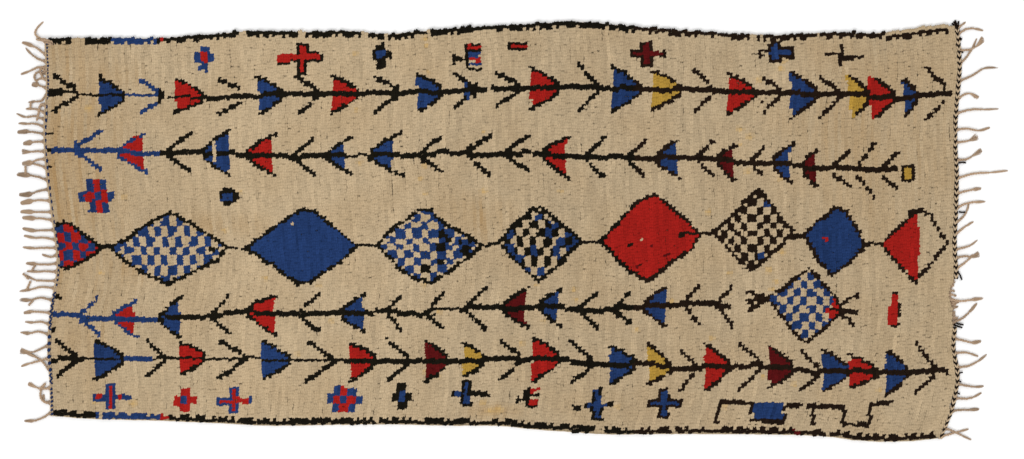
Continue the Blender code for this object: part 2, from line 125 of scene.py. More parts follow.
# The four trees. spine: runs of points. bands: the x at which each yarn of the spine starts, the yarn and how
# many knots thick it is. root: how far the forks spread at once from the spine.
# forks: (open x, apex x, upper y, lower y), then the yarn if it isn't DARK, and which arms stop short of the
# spine. arrows: (flat x, apex x, tip x, upper y, lower y, yarn), then the edges' yarn if it isn't DARK, how
# much further along the flat side's lower end lies, and the share of each edge without a line at its tip.
TREES = (
    {
        "spine": (
            (
                (-151.8, 46), (-147.5, 46.4), (-144, 46.2), (-141, 45.6), (-135, 45.2), (-127, 45),
                (-113.8, 45),
            ),
            (
                (-112.3, 45), (-108, 44.8), (-98, 44.4), (-88, 44.9), (-78, 45.5), (-60, 45.9), (-40, 46.1),
                (-20, 46.6), (-5.6, 47.2),
            ),
            (
                (-4.2, 47.6), (10, 47.8), (25, 48), (35, 47.7), (45, 47.4), (57, 47.2), (70, 46.4),
                (80, 45.9), (100, 45.9), (115, 45.3), (130, 44.5), (140, 45.4), (149.3, 45.8),
            ),
        ),
        "bands": (
            (-152, DARK, 3), (-147.2, DARK, 1), (-127, INDIGO, 1), (-116, DARK, 2), (-112.5, DARK, 1),
            (-101.6, DARK, 2),
        ),
        "root": 1.6,
        "forks": (
            (-150.3, -142.5, 51.8, 40.3), (-121.6, -114.4, 50.4, 39.2, INDIGO),
            (-95.5, -87.3, 50.4, 39.2, DARK, "both"), (-68.6, -61.8, 50.6, 39.4), (-43, -35, 51.3, 39.8),
            (-16.8, -10.2, 52.5, 40.8), (-3, 5, 53, 41.5), (24.5, 31.8, 55.5, 40.2), (63, 69.8, 53.7, 39.4),
            (86.3, 92, 50.9, 39.8), (105.2, 112.3, 51.2, 38), (140.6, 147.5, 54.2, 37.4, DARK, "both"),
        ),
        "arrows": (
            (-135.2, -127.4, -135.2, 51, 38.9, INDIGO), (-109.8, -101.2, -109.8, 50.8, 40, RED),
            (-82.8, -74.5, -82.8, 51.5, 39, INDIGO, DARK, 1.4), (-57.6, -49.4, -57.6, 51.5, 39.3, RED),
            (-29.3, -21.3, -29.3, 52.2, 39.7, INDIGO), (8.6, 18, 8.6, 54.3, 40.8, RED),
            (35.9, 45, 35.9, 55, 40, INDIGO), (49.2, 58.5, 49.2, 53.6, 40.6, YELLOW),
            (74.4, 83.3, 74.4, 52.5, 39.2, RED), (95, 104, 95, 53.3, 38, INDIGO, DARK, 0.6),
            (113.6, 121.3, 113.6, 52.4, 37.2, YELLOW, DARK, 2, 0.2),
            (121, 129.8, 121, 52.4, 36.8, RED, DARK, 1.2, 0.25),
            (132.3, 137.5, 132.3, 50.6, 38.2, INDIGO, DARK, 1.2),
        ),
    },
    {
        "spine": (
            (
                (-152, 27.3), (-145, 27.2), (-140, 27.2), (-130, 26.5), (-120, 26.2), (-114, 26),
                (-103, 26.1), (-90, 25.7), (-80, 25.2), (-70, 24.6), (-60, 25), (-45, 25.4), (-30, 25.3),
                (-20, 26.3), (-10, 25.7), (-3, 25.6), (8, 26.2), (20, 24.9), (27, 24.5), (38, 24.8),
                (45, 24), (52, 24.4), (60, 24.6), (68, 23.8), (80, 23), (87, 22.8), (95, 22.4), (101, 21.3),
                (108, 21.2), (120, 20.4), (130.5, 20.4),
            ),
        ),
        "bands": ((-153, BLACK, 2), (-151, INDIGO, 2), (-115.5, DARK, 2), (-53, DARK, 1), (-44.5, DARK, 2)),
        "root": 1.1,
        "forks": (
            (-134.7, -144.3, 33.3, 20.9, INDIGO), (-105.2, -113.5, 32.4, 19.8), (-63.8, -71.3, 31.3, 18.8),
            (-21, -28.8, 31.7, 19.8), (-5, -13.4, 32, 18.7), (7.9, -0.8, 31.8, 20.2), (33, 26.2, 31, 18.3),
            (46.5, 40.2, 29.9, 18.1), (69.2, 63.6, 29.7, 18.1), (86.2, 81.8, 27.6, 17.9),
            (115.1, 108.7, 26.5, 14.7, DARK, "lower"), (123.2, 116.8, 29.6, 11.1, DARK, "lower"),
            (130.8, 125.2, 26.4, 14.4, DARK, "lower"),
        ),
        "arrows": (
            (-120.4, -128.4, -119.9, 32.8, 19.8, RED, INDIGO), (-92.2, -100.6, -92.2, 33.4, 18.8, INDIGO),
            (-77.8, -85.8, -76.4, 32.4, 18.5, RED), (-53.4, -59, -51.2, 31, 19.2, INDIGO),
            (-37.6, -44.8, -34.2, 33, 18.7, INDIGO), (20.4, 12.8, 21.2, 31.3, 17.6, RED),
            (57.2, 50.8, 57.9, 30.5, 18.1, INDIGO), (76.1, 71.2, 77, 28.5, 16.7, MAROON),
            (95, 89.6, 95.9, 29, 15.8, INDIGO), (103.4, 99.3, 104, 26.8, 15.1, MAROON),
        ),
    },
    {
        "spine": (
            (
                (-151, -27.5), (-145, -28), (-140, -28.8), (-130, -29), (-122, -29.5), (-116, -29.3),
                (-108, -28.9), (-98, -28.4), (-89, -26.9), (-85, -26.8), (-78, -27.7), (-55, -27.3),
                (-38, -26.8), (-28, -28), (-24, -26.4), (-10, -25.7), (-3, -25.5), (2, -26), (10, -25.3),
                (17, -25.3), (24, -26.2), (34, -26.4), (42, -25.4), (50, -24.8), (62, -24.2), (70, -24.5),
                (75.3, -25.2),
            ),
        ),
        "bands": ((-152, INDIGO, 2), (-116, DARK, 2), (-23.5, DARK, 1), (-15.5, DARK, 2)),
        "root": 1,
        "forks": (
            (-135.6, -142.3, -22, -34.3, INDIGO), (-92, -98.8, -21.6, -34), (-61.6, -69.6, -21.2, -33.7),
            (-34.7, -39.8, -21.6, -32.8), (-20.8, -26.8, -20.8, -32.5), (-6.2, -13.9, -18.7, -32.6),
            (30.8, 24, -20.9, -31.8), (41.9, 36, -20.5, -30.6), (64.3, 59.6, -18.4, -30.6),
            (75.6, 70.3, -18.8, -31),
        ),
        "arrows": (
            (-123.8, -130, -122.7, -23.2, -35.3, RED, INDIGO), (-108.5, -114.8, -107.7, -22, -35.6, INDIGO),
            (-77, -85.6, -76.3, -21.6, -34.9, RED), (-47.3, -54.6, -46.5, -21, -33.7, INDIGO),
            (6.8, -0.4, 7.8, -18.8, -32.1, MAROON), (17.7, 12, 18.7, -19.5, -31.6, INDIGO),
            (53.8, 46.6, 53.8, -18.5, -31.7, INDIGO),
        ),
    },
    {
        "spine": (
            (
                (-151, -42.8), (-140, -42.7), (-127, -42.8), (-113, -42.5), (-100, -42.1), (-90, -42.8),
                (-86, -42.3), (-79, -42.9), (-60, -43.5), (-50, -43.3), (-40, -43), (-31, -43.3),
                (-18, -43.3), (-13, -43.7), (-6, -42.8), (8, -42.7), (17, -42.4), (22, -43.5), (30, -44.3),
                (40, -44.7), (45, -44), (50, -44.5), (55, -45.5), (65, -45.6), (75, -45), (85, -44.8),
                (92, -45.6), (98, -46), (103, -47), (110, -46.8), (118, -46.7), (125, -47.1), (137, -46.9),
                (143, -46.4), (147.6, -46.9),
            ),
        ),
        "bands": ((-152, DARK, 2), (-140, DARK, 1), (-127, INDIGO, 2), (-117, DARK, 1), (-54, DARK, 2)),
        "root": 1.2,
        "forks": (
            (-149.6, -141.8, -36.4, -48.3), (-119.3, -112.8, -36.7, -48.3), (-95.3, -86.3, -36.5, -49.2),
            (-66.2, -56.8, -36.5, -50.1), (-39, -31.2, -36.3, -49.6), (-1.3, 6, -36.8, -49.3),
            (22, 30, -36.5, -50.7), (58.7, 64.2, -40, -52.8), (78.3, 86.4, -37.8, -52.6),
            (99, 105.4, -39.8, -52.8), (137.3, 144.3, -38, -53.8),
        ),
        "arrows": (
            (-136.8, -127.6, -136.8, -36.4, -49.4, INDIGO), (-108.4, -100.3, -108.4, -37.6, -48, RED),
            (-80.9, -72.3, -80.9, -36.8, -49.4, INDIGO), (-51.5, -43.4, -51.5, -37.3, -50, RED),
            (-26.6, -19, -26.6, -36.7, -50.2, MAROON), (-13.9, -6.8, -13.9, -37.7, -48.6, YELLOW),
            (9.2, 18, 9.2, -35.4, -50.1, RED), (35, 43.4, 35, -38.3, -51, INDIGO),
            (47.7, 55, 47.7, -37.4, -51, YELLOW), (66.7, 74.8, 66.7, -37.8, -53.2, RED),
            (88.1, 96, 88.1, -38.6, -52.2, MAROON), (105.9, 115, 105.9, -39.4, -53.4, INDIGO),
            (114.9, 124, 114.9, -41.3, -52.3, RED), (127, 134.3, 127, -39.8, -54.7, INDIGO),
        ),
    },
)

# The row of lozenges: (corners, yarn inside, yarn around)
LOZENGES = (
    (
        ((-151, 1.8), (-147, 3.2), (-140, -1.2), (-134.6, -5.3), (-137, -8), (-145.8, -12.6), (-150, -11)),
        RED, BLACK,
    ),
    (
        (
            (-131.6, -5.3), (-126, -2.6), (-118, 3.4), (-111.7, 6.2), (-105, 2.6), (-97, -2.3),
            (-92.8, -5.2), (-96, -9.6), (-105, -14.2), (-112, -17.8), (-120, -14.2), (-127.5, -9.6),
        ),
        CREAM, BLACK,
    ),
    (
        (
            (-86.4, -5.7), (-80, -1), (-72, 4.8), (-67.2, 7.4), (-63.5, 6.2), (-57, 1), (-49.4, -4.7),
            (-55, -10.6), (-61.5, -14.4), (-64.5, -17), (-69, -17.6), (-76, -12.6),
        ),
        INDIGO, BLACK,
    ),
    (
        (
            (-42.6, -4.5), (-37, 1), (-32, 4.8), (-28.5, 7), (-25.2, 7.2), (-20.5, 2.6), (-13, -1.4),
            (-8, -4.9), (-13, -9.4), (-19, -13.8), (-24.6, -17.2), (-30, -15.8), (-35, -12.6),
        ),
        CREAM, BLACK,
    ),
    (
        (
            (-2, -3.5), (3, 2), (9, 7.2), (12, 7.6), (17, 4), (22, -0.4), (25.2, -3.5), (19, -10.2),
            (14, -14.2), (11, -16.7), (7, -13.2), (1.5, -8),
        ),
        CREAM, BLACK,
    ),
    (
        (
            (31.4, -3.6), (37, 2), (43, 8.8), (49.4, 12.4), (53, 10), (59, 4.8), (65.2, -1.2), (62, -6.2),
            (54, -11.4), (47.9, -17), (41, -12.8), (36, -7.6),
        ),
        RED, DARK,
    ),
    (
        (
            (69.8, -0.6), (75, 4.2), (80.5, 10.4), (84.6, 13.8), (87, 11), (91, 5.4), (96, 0.4), (92, -5),
            (87, -9.2), (82.8, -13.2), (77, -8.4), (73, -4.2),
        ),
        CREAM, DARK,
    ),
    (
        (
            (99.8, -0.8), (104, 3.2), (110.8, 7.8), (113.5, 6.6), (118.2, -0.4), (119.6, -5.6),
            (114.5, -10.8), (109.3, -14.7), (104.6, -10), (102, -5),
        ),
        INDIGO, DARK,
    ),
    (
        (
            (125.4, -4.4), (130, -0.2), (135, 5.2), (138.5, 6.6), (142, 5.2), (145, -0.4), (147.7, -4),
            (143, -9.6), (136.8, -17), (131, -11),
        ),
        CREAM, DARK,
    ),
    (
        (
            (87.6, -22.4), (94, -18.2), (101.5, -12.2), (106, -17.4), (110.5, -22.4), (112.4, -27),
            (107, -32), (100.4, -37), (96.6, -34), (92, -28),
        ),
        CREAM, DARK,
    ),
)

# Checks inside lozenges: (lozenge, edge of one column, column width, row edges from the top, yarn of every
# other cell, from the first row's column at that edge)
CHECKS = (
    (0, -149.6, 2.55, (3, -0.5, -3.8, -6.7, -9.5, -12.6), INDIGO),
    (1, -124.15, 2.39, (5.8, 1.9, -1.5, -5.15, -8.1, -11, -14.95, -17.6), INDIGO),
    (3, -28.05, 2.72, (8.2, 5.66, 3.15, 0.72, -2.25, -4.42, -6.53, -9.1, -11.5, -13.85, -16.4), INDIGO),
    (4, 6.17, 2.3, (6.3, 3.7, 1.05, -1.7, -5.35, -8.5, -11.8, -15.1), BLACK),
    (6, 83.6, 2.4, (12.9, 10.4, 7.9, 5.4, 2.9, 0.4, -2.1, -4.6, -7.1, -9.6, -12.1), BROWN),
    (9, 98.6, 2.42, (-11, -13.7, -16.4, -19.1, -21.8, -24.5, -27.2, -29.9, -32.6, -35.3, -38), INDIGO),
)


def box(x0, x1, y0, y1):
    """The corners of an upright rectangle."""
    return (x0, y0), (x1, y0), (x1, y1), (x0, y1)


# Patches laid over the lozenges, as (corners, yarn)
PATCHES = (
    (((135.2, 5.2), (137.9, 6.2), (137.9, -8), (137.3, -16.4), (125.6, -4.4), (130, -0.2)), RED),
    (((110.3, -22.4), (112.3, -27.2), (108.6, -29.6), (106.4, -26.2), (108.9, -25)), RED),
    (((-131, -5.2), (-127.6, -3.6), (-127.6, -7.6)), INDIGO),
    (((-98.4, -4.8), (-95.4, -5.9), (-98.4, -7)), BLACK), (box(-22.6, -20.2, -2.2, 0.7), BLACK),
    (box(-22.6, -19.8, -6.5, -4.4), BLACK),
    (((-19.8, -1.6), (-17.4, -2.2), (-17.8, -4.2), (-19.8, -4.2)), BLACK),
    (((-16.2, -2.6), (-12.5, -2.6), (-10, -4.9), (-13, -8.5), (-15.5, -7.5)), BLACK),
    (box(-16, -14, -6.6, -4.8), INDIGO), (box(-14, -12, -4.4, -3), INDIGO),
    (box(-12.2, -9.8, -5.4, -4.4), INDIGO), (box(-28, -24.6, -13.8, -11.5), BLACK),
    (box(-22.4, -20.4, -11.3, -9.1), BLACK), (box(10.3, 12.7, 3.2, 5.8), INDIGO),
    (((14.6, 3.9), (18.8, 1.4), (15.4, 0.8)), INDIGO), (box(13.2, 15.6, -1.7, 0.8), INDIGO),
    (((19.8, 0.4), (24.5, -3.5), (22.4, -4.8), (19.8, -1.6)), INDIGO), (box(17.4, 19.9, -4.6, -2), INDIGO),
    (box(20.2, 22.2, -4.6, -2.4), BLACK), (box(8.4, 11, -8, -4.8), INDIGO),
    (((15.4, -4.8), (17.8, -4.8), (18.6, -9.6), (16.2, -8.6)), INDIGO),
    (((19.9, -4.9), (22.4, -5), (20.2, -8)), INDIGO), (box(3.6, 6, -10.4, -8.4), INDIGO),
    (box(6.9, 8.6, -13.6, -12), INDIGO), (box(11.2, 13.4, -15, -12), INDIGO),
    (((0, -4.8), (3, -4.8), (3, -7.8), (1, -7.6)), INDIGO),
    (((-1, -2), (3, 1.4), (3, -1.6), (1, -3)), INDIGO), (box(86.3, 88.7, 7.9, 10.5), INDIGO),
    (box(84, 86.4, -9.4, -7.2), INDIGO), (((106.2, -2), (108.2, -2), (108.4, -3.4), (106.6, -3.4)), RED),
)

# Single lines of the pattern, as (points, width, yarn)
LINES = (
    (((-134.6, -5.3), (-131.2, -5.5)), 1.6, BLACK), (((-93, -5.5), (-90, -5.8), (-86.4, -6.1)), 0.7, BLACK),
    (((-49.6, -4.8), (-42.6, -4.4)), 1, BLACK), (((-8.2, -5), (-2, -3.8)), 1, BLACK),
    (((25, -3.5), (31.6, -3.7)), 0.9, BLACK), (((58.4, -1), (70, -0.7)), 1.3, DARK),
    (((94.5, -1.7), (100.2, -1.7)), 1.5, DARK), (((119.6, -4.1), (125.8, -4.2)), 1.6, DARK),
    (((134.6, 6), (138.5, 6.8), (141.6, 5.6)), 1.3, DARK),
    (((81.3, -20.2), (84.2, -21.6), (87.6, -22.6)), 1.6, DARK), (((81.2, -23.3), (87.6, -22.9)), 1.8, DARK),
    (((81.2, -26.6), (84.4, -24.6), (87.6, -22.8)), 1.6, DARK),
    (((108.4, -26.3), (110.8, -26.4)), 0.8, DARK),
    (((112.4, -24.8), (114.6, -23.2), (117.5, -21.2)), 1.4, DARK),
    (((112, -26.4), (117, -26.8)), 1.6, DARK), (((112, -28.2), (114.6, -29.4), (116.1, -32.2)), 1.4, DARK),
    # marks at the left end, and flecks beside the spines
    (((-151.9, 32.4), (-151.3, 32.4)), 0.8, BLACK), (((-151.9, 27.9), (-151.9, 26.8)), 0.9, BLACK),
    (((-152, 21.8), (-151.2, 21.8)), 0.9, BLACK), (((-148.8, -21.8), (-148.7, -21.8)), 1.3, BLACK),
    (((-150.8, -32.8), (-150.4, -32.8)), 1.4, BLACK), (((-143.6, 29.4), (-143.4, 25.6)), 1.5, INDIGO),
    (((-141.6, -26.6), (-141.8, -30.4)), 1, INDIGO), (((-123.4, 31.9), (-122.3, 31.9)), 1, RED),
    (((-97.1, 29.4), (-97.1, 22.6)), 0.6, CREAM),
    (((-115.4, 47), (-113.6, 45.2), (-115.4, 43.2)), 1.1, BLACK),
    (((-9.8, 48.8), (-9.8, 44.4)), 1.2, BLACK), (((-12.6, 49.2), (-12.6, 48.2)), 1.4, INDIGO),
    (((-12.4, 45.4), (-12.2, 44)), 1.6, INDIGO),
    # the stepped line and its box at the lower right
    (((70.5, -64), (71.4, -57.2), (80, -57.2), (82.4, -58)), 1.3, DARK),
    (((93, -58.6), (99, -57.8)), 1.4, DARK),
    (((81.9, -58), (81.9, -63.4), (93.3, -63.6), (93.3, -58.6)), 1, DARK),
    (
        (
            (100.6, -58.3), (108, -58.3), (113.1, -58.8), (112.8, -64.4), (121.6, -64.6), (122, -57.8),
            (128.8, -57.1),
        ),
        1.4, DARK,
    ),
    (((102.8, -58.6), (102.8, -64)), 1.4, DARK),
)

# Small crosses, flowers and marks as upright rectangles (x0, x1, y0, y1, yarn), laid in this order, and how
# far past its lower and upper side each takes in a knot
BLOCK_REACH = 0.12
BLOCKS = (
    (-101.9, -98.8, 53.3, 61.6, INDIGO), (-104.1, -96.9, 56.2, 59.4, INDIGO),
    (-101.6, -98.9, 56.2, 59.3, RED), (-69.7, -65.7, 52.2, 62.6, BLACK), (-76.2, -61.2, 56.1, 59.4, BLACK),
    (-68.7, -66.8, 52.9, 62, RED), (-75.6, -61.9, 57, 58.6, RED), (-43, -40.2, 54.4, 62.3, BLACK),
    (-44.7, -37.6, 57.3, 60.1, BLACK), (-42.9, -40.4, 57.4, 60.3, INDIGO), (-17.4, -16.4, 56, 58.8, BLACK),
    (-17, -12.8, 56.8, 57.9, BLACK), (-13.6, -12.4, 53.8, 62.3, BLACK), (-12.4, -8, 61.7, 62.5, BLACK),
    (-12.4, -8, 60.8, 61.7, RED), (-12.4, -8, 59.7, 60.4, BLACK), (-12.4, -8.4, 58.2, 59.2, INDIGO),
    (-12.4, -8, 56.6, 57.6, RED), (-12.4, -8, 54.9, 55.8, INDIGO), (-12.4, -8, 53.6, 54.3, BLACK),
    (0.9, 7.7, 60.4, 62.7, BLACK), (1.6, 7, 61.2, 62, RED), (45, 49, 54.8, 63.3, BROWN),
    (41.7, 53.8, 58, 60.2, BROWN), (45.9, 48.2, 55.6, 62.5, MAROON), (42.6, 53, 58.7, 59.6, MAROON),
    (88, 92.2, 56.1, 63.2, BROWN), (84.8, 96.2, 57.6, 61.5, BROWN), (89.2, 91.2, 57.3, 62.6, INDIGO),
    (88.2, 95, 58.8, 60.6, INDIGO), (84.8, 88, 60.5, 61.6, CREAM), (84.8, 88, 57.3, 58.2, CREAM),
    (86, 87.6, 58.9, 59.6, CREAM), (107, 112, 58.3, 59.6, BROWN), (112, 119.6, 57.2, 58.4, BROWN),
    (111.4, 112.7, 54.7, 62, BROWN), (-142.4, -130, 10.1, 13.3, INDIGO), (-139.7, -132.9, 13.5, 17, INDIGO),
    (-139, -131.9, 6.4, 10, INDIGO), (-137.6, -135.2, 13.4, 17.1, RED), (-139.6, -137.2, 10.1, 13.4, RED),
    (-134.9, -132.5, 10.1, 13.4, RED), (-136.3, -134, 6.2, 10, RED), (-95.3, -89.6, 9.6, 13.2, BLACK),
    (-94.3, -91.4, 8.6, 14.2, BLACK), (-89.8, -88.6, 10.6, 12.6, BLACK), (-94.6, -90.8, 10.1, 12.8, INDIGO),
    (132.3, 136.1, 16.2, 22, BROWN), (133.5, 135.2, 17.4, 20.9, YELLOW),
    (-133.7, -129.9, -59.8, -51, INDIGO), (-137.7, -125, -56.4, -54.2, INDIGO),
    (-132.5, -131.2, -59.3, -51.7, RED), (-136.9, -134.4, -55.8, -54.7, RED),
    (-129.2, -127.6, -55.8, -54.7, RED), (-108.2, -105.3, -60, -52.5, RED), (-110.7, -102.4, -58, -55, RED),
    (-108.1, -106, -57.3, -55.4, INDIGO), (-92.4, -88.9, -61, -52.2, INDIGO),
    (-96.7, -83.9, -57.8, -55.6, INDIGO), (-91.3, -90.1, -60.3, -53, RED),
    (-95.6, -85.4, -57.1, -56.2, RED), (-57.5, -49.6, -60, -52, INDIGO),
    (-59.8, -47.2, -57.3, -54.7, INDIGO), (-55.2, -52.3, -60, -52, RED), (-57.5, -49.6, -57.5, -55, RED),
    (-54.8, -52.5, -57.3, -55, INDIGO), (-49.6, -47.2, -54.9, -54.2, CREAM),
    (-36.1, -32.9, -58.9, -51, BLACK), (-37.5, -30.6, -56.5, -54, BLACK),
    (-35.8, -33.3, -57, -53.6, INDIGO), (-14.6, -11.2, -59, -49.7, BLACK),
    (-11.4, -5.4, -55.4, -53.8, BLACK), (-18.4, -14.4, -55, -53.9, BLACK),
    (-16.8, -14.4, -55, -53.6, INDIGO), (-13.7, -12, -58.2, -50.4, INDIGO), (3.4, 4.7, -57, -54.6, BLACK),
    (3.4, 7.2, -56.3, -55.4, BLACK), (6.6, 7.9, -58.8, -52.8, BLACK), (8, 11.2, -53.6, -52.4, RED),
    (8.4, 11.2, -54.9, -54.3, BLACK), (8, 11.2, -57.5, -56.2, RED), (8.2, 11, -58.5, -57.9, BLACK),
    (28.8, 32.5, -63.2, -52.5, BLACK), (26.2, 36, -58.8, -57.4, BLACK), (22.4, 25, -59.4, -57.8, BLACK),
    (29.7, 31.8, -62.4, -53.2, INDIGO), (27.2, 34.4, -58.6, -57.5, INDIGO), (51, 54.8, -62.5, -52.8, DARK),
    (47, 59.1, -58.4, -56.2, DARK), (52, 53.8, -61.6, -53.6, INDIGO), (48.4, 58.2, -57.7, -56.8, INDIGO),
    (82.8, 92.6, -62.9, -56.9, INDIGO), (128.8, 131.5, -21.3, -20.3, DARK),
    (128.8, 131.3, -24.7, -21.5, RED), (127.8, 131.3, -27.9, -24.8, RED),
    (131.2, 132.4, -28.1, -24.3, DARK), (128, 130.4, -31.1, -28.1, RED), (130.3, 131.3, -31, -28.4, DARK),
    (128, 130.4, -32.3, -31.2, DARK),
)

# Loose marks on the red lozenge, and worn flecks, as (x, y, radius, yarn)
FLECKS = (
    (41.8, -4.3, 0.7, BLACK), (48.7, -4.9, 0.6, MAROON), (54, -7.8, 0.7, MAROON), (45, -11.2, 0.6, BLACK),
    (43.6, -12.4, 0.7, MAROON), (45.2, -3.3, 0.6, CREAM), (-65.2, 3.6, 0.5, CREAM), (-71, 2.2, 0.5, CREAM),
    (-48, 65.4, 0.6, CREAM), (-69.4, 51.4, 0.6, BLACK), (-144.2, 49, 0.6, BLACK), (42.8, -47, 0.5, DARK),
    (85.4, 43, 0.5, BROWN), (-134.6, 52.2, 0.6, BLACK), (-150.2, 52.2, 1, BLACK),
    (-149.8, 40.4, 1.1, BLACK), (-139.2, 45.4, 0.7, BLACK),
)

# The two border lines by x, as (from, to, yarn). Between the runs the ground shows. They are one or two knots
# deep, row by row, and mostly two up to BORDER_DEEP_TO. Past UPPER_INSET_FROM one knot of ground lies outside
# the upper one.
BORDER_DEEP_TO, UPPER_INSET_FROM = -116, 127
UPPER_BORDER = (
    (-152, -149, DARK), (-148.6, -144.8, DARK), (-140.8, -139.3, DARK), (-138.8, -131.8, DARK),
    (-131.8, -116.4, INDIGO), (-116.4, -115.5, DARK), (-115.5, -114.3, RED), (-114.3, -88.3, DARK),
    (-86.7, -68.4, DARK), (-66.4, -48, DARK), (-46.2, -39.7, DARK), (-38.9, -26, DARK), (-25.2, 82, DARK),
    (83.6, 85.2, DARK), (86.4, 104.2, DARK), (105.2, 147.4, DARK),
)
LOWER_BORDER = (
    (-150, -136.4, DARK), (-136.4, -134.9, INDIGO), (-134.2, -114.6, INDIGO), (-114.6, -111.6, RED),
    (-111.6, -89.8, DARK), (-89.2, -43.4, DARK), (-42.4, 30.2, DARK), (33.4, 55.2, DARK),
    (56.2, 96.2, DARK), (96.2, 98.4, MAROON), (98.4, 106.8, DARK), (108.2, 143.4, DARK), (145, 146.4, DARK),
)

# Yellowed spots in the ground, as (x, y, radius)
STAINS = (
    (-139, 41, 1.6), (-50, 59.2, 1.2), (-26.5, 64.3, 1.5), (-26.3, 62, 1.2), (-26, 53, 1),
    (-49.6, 40.6, 1.1), (93.4, 56.6, 1.2), (92, 54.3, 1.5), (84.4, 50.4, 1.3), (-127, 11.4, 1.2),
    (-88.4, 13.1, 1), (-48.5, 22.8, 1.2), (-27, 21.7, 1.2), (-28, 17.5, 1.2), (-26.7, 12.5, 1),
    (-7, 13.2, 1.4), (-7, 33, 0.8), (18.5, 13.2, 1.1), (67.7, 6.4, 1.3), (78, 28.8, 1.1), (78.4, 34, 1.5),
    (81.6, 31.6, 1.5), (81, 20, 1.4), (92, 17.3, 1.2), (92.4, -7, 1.4), (90.5, -16.8, 1.2),
    (89, -19.5, 1.2), (88, -13, 1.6), (-93.5, 0.2, 1.2), (-134.8, -14, 1.2), (-80, -15.7, 1.1),
    (-62, -18, 1.2), (-27, -18, 1.2), (-57.7, -30, 1.3), (-22, -27, 1), (10.5, -18, 1), (23, -19.5, 1.2),
    (23.5, -23, 1), (43.8, -33, 1.1), (55.5, -23.3, 1), (74.8, -14, 1.2), (74.2, -21, 1.2), (13, -30, 1),
    (-69, -41, 1.2), (-124, -57.5, 1.7), (-136.6, -57, 1.3), (-7.4, -57.2, 1.4), (-2, -59.6, 1.8),
    (-5, -60, 1.7), (5.5, -37.4, 1.2), (69, -35.8, 1.2), (86, -48.5, 1.2), (96.6, -51.2, 1.2),
    (125, -53, 1.2), (37.5, -58.7, 1.2), (73.5, -58.7, 1.2), (-26.7, -46.8, 1), (-22, -48.5, 1),
)

# Darker, walked-on ground, as (x, y, half length, half width, amount)
SHADES = (
    (-150, 20, 26, 60, 0.55), (-124, -12, 12, 7, 0.5), (-132, 52, 14, 7, 0.35), (-10, 4, 16, 9, 0.35),
    (-100, 2, 24, 5, 0.35), (-4, -60, 12, 3, 0.4), (120, 30, 34, 40, 0.25), (-141, -38, 12, 14, 0.3),
)

# How much lighter or darker the wool is along the rug, as (x, amount of tone)
TONE_ALONG_RUG = ((-150, -0.12), (-85, 0.14), (-50, 0.14), (0, -0.18), (150, -0.25))

# Fringe strands, as (root y, reach outward, drift along +y, bow near the root, bow near the tip, ending)
LEFT_STRANDS = (
    (63.3, 0.5, 6.6, -2.8, -2.4, "plain"), (58.8, 7.8, 4.2, 0.6, 0.5, "knot"),
    (56.5, 6.9, 4.6, -0.6, -0.5, "plain"), (54.6, 8.4, -2.3, 0.7, 0.2, "plain"),
    (52.9, 1.4, -0.9, 0.6, 0.5, "plain"), (50.6, 3.4, -1, 0.6, 0.8, "plain"),
    (47.6, 4.8, 1.4, 0.3, 0.3, "knot"), (45.5, 6, -2.6, -1.3, -0.6, "plain"),
    (42.2, 1.4, -0.8, 0.6, 0.5, "plain"), (39.4, 6.3, 1.3, 0.6, 0.5, "plain"),
    (37.2, 9.3, 2, 0.4, -0.5, "plain"), (34.7, 8.5, 1.2, 0.7, 0.3, "plain"),
    (32.3, 8.8, 0.7, 0.4, 0.4, "knot"), (29.8, 7, -0.6, 0.2, 0.1, "knot"),
    (26.5, 7.5, 0, 0.1, -0.1, "brush"), (24, 7.6, -1.5, 0.2, -0.3, "knot"), (21, 6, 1.9, 0.3, 0.1, "plain"),
    (17, 10, 2, 0.5, 0.3, "knot"), (13.9, 9.6, -1.8, 0, -0.5, "knot"), (10, 9.7, -0.8, 0.6, 0.4, "knot"),
    (6.3, 10.2, 0.1, 0, 0, "knot"), (3.5, 10, 0.8, 0.4, 0.2, "knot"), (0.3, 10.4, 0.6, -0.3, -0.6, "knot"),
    (-3, 10.4, 1.4, 0.3, -0.2, "tuft"), (-5.7, 11.2, 0.2, 0, -0.2, "tuft"),
    (-8, 5, 0.2, -0.7, -0.5, "plain"), (-10.9, 10.4, 0.1, -0.3, -0.2, "tuft"),
    (-13.7, 9.9, 0.2, 0.2, 0, "tuft"), (-16.7, 10, 2, -0.6, -1, "plain"),
    (-19.2, 11.6, -1, 0.9, 0.3, "plain"), (-23.2, 10.7, 0.2, 0.9, 0, "tuft"),
    (-27.4, 8.8, 0, 0.4, 0.5, "tuft"), (-31.2, 8, 0.9, 0.6, 0, "plain"),
    (-34.6, 9.3, 0.8, 0.8, -0.1, "tuft"), (-38.3, 9.2, -1.7, -0.8, -1.2, "brush"),
    (-42.6, 9, -2.6, 0.1, 0.1, "plain"), (-46.5, 7.4, 5.6, 1, 0.9, "tuft"),
    (-52.4, 7.3, 1.5, -0.8, -0.7, "brush"), (-57.4, 2.3, 2.8, -1.2, -1, "plain"),
    (-60.7, 8.8, -2.8, -0.8, -0.8, "tuft"),
)
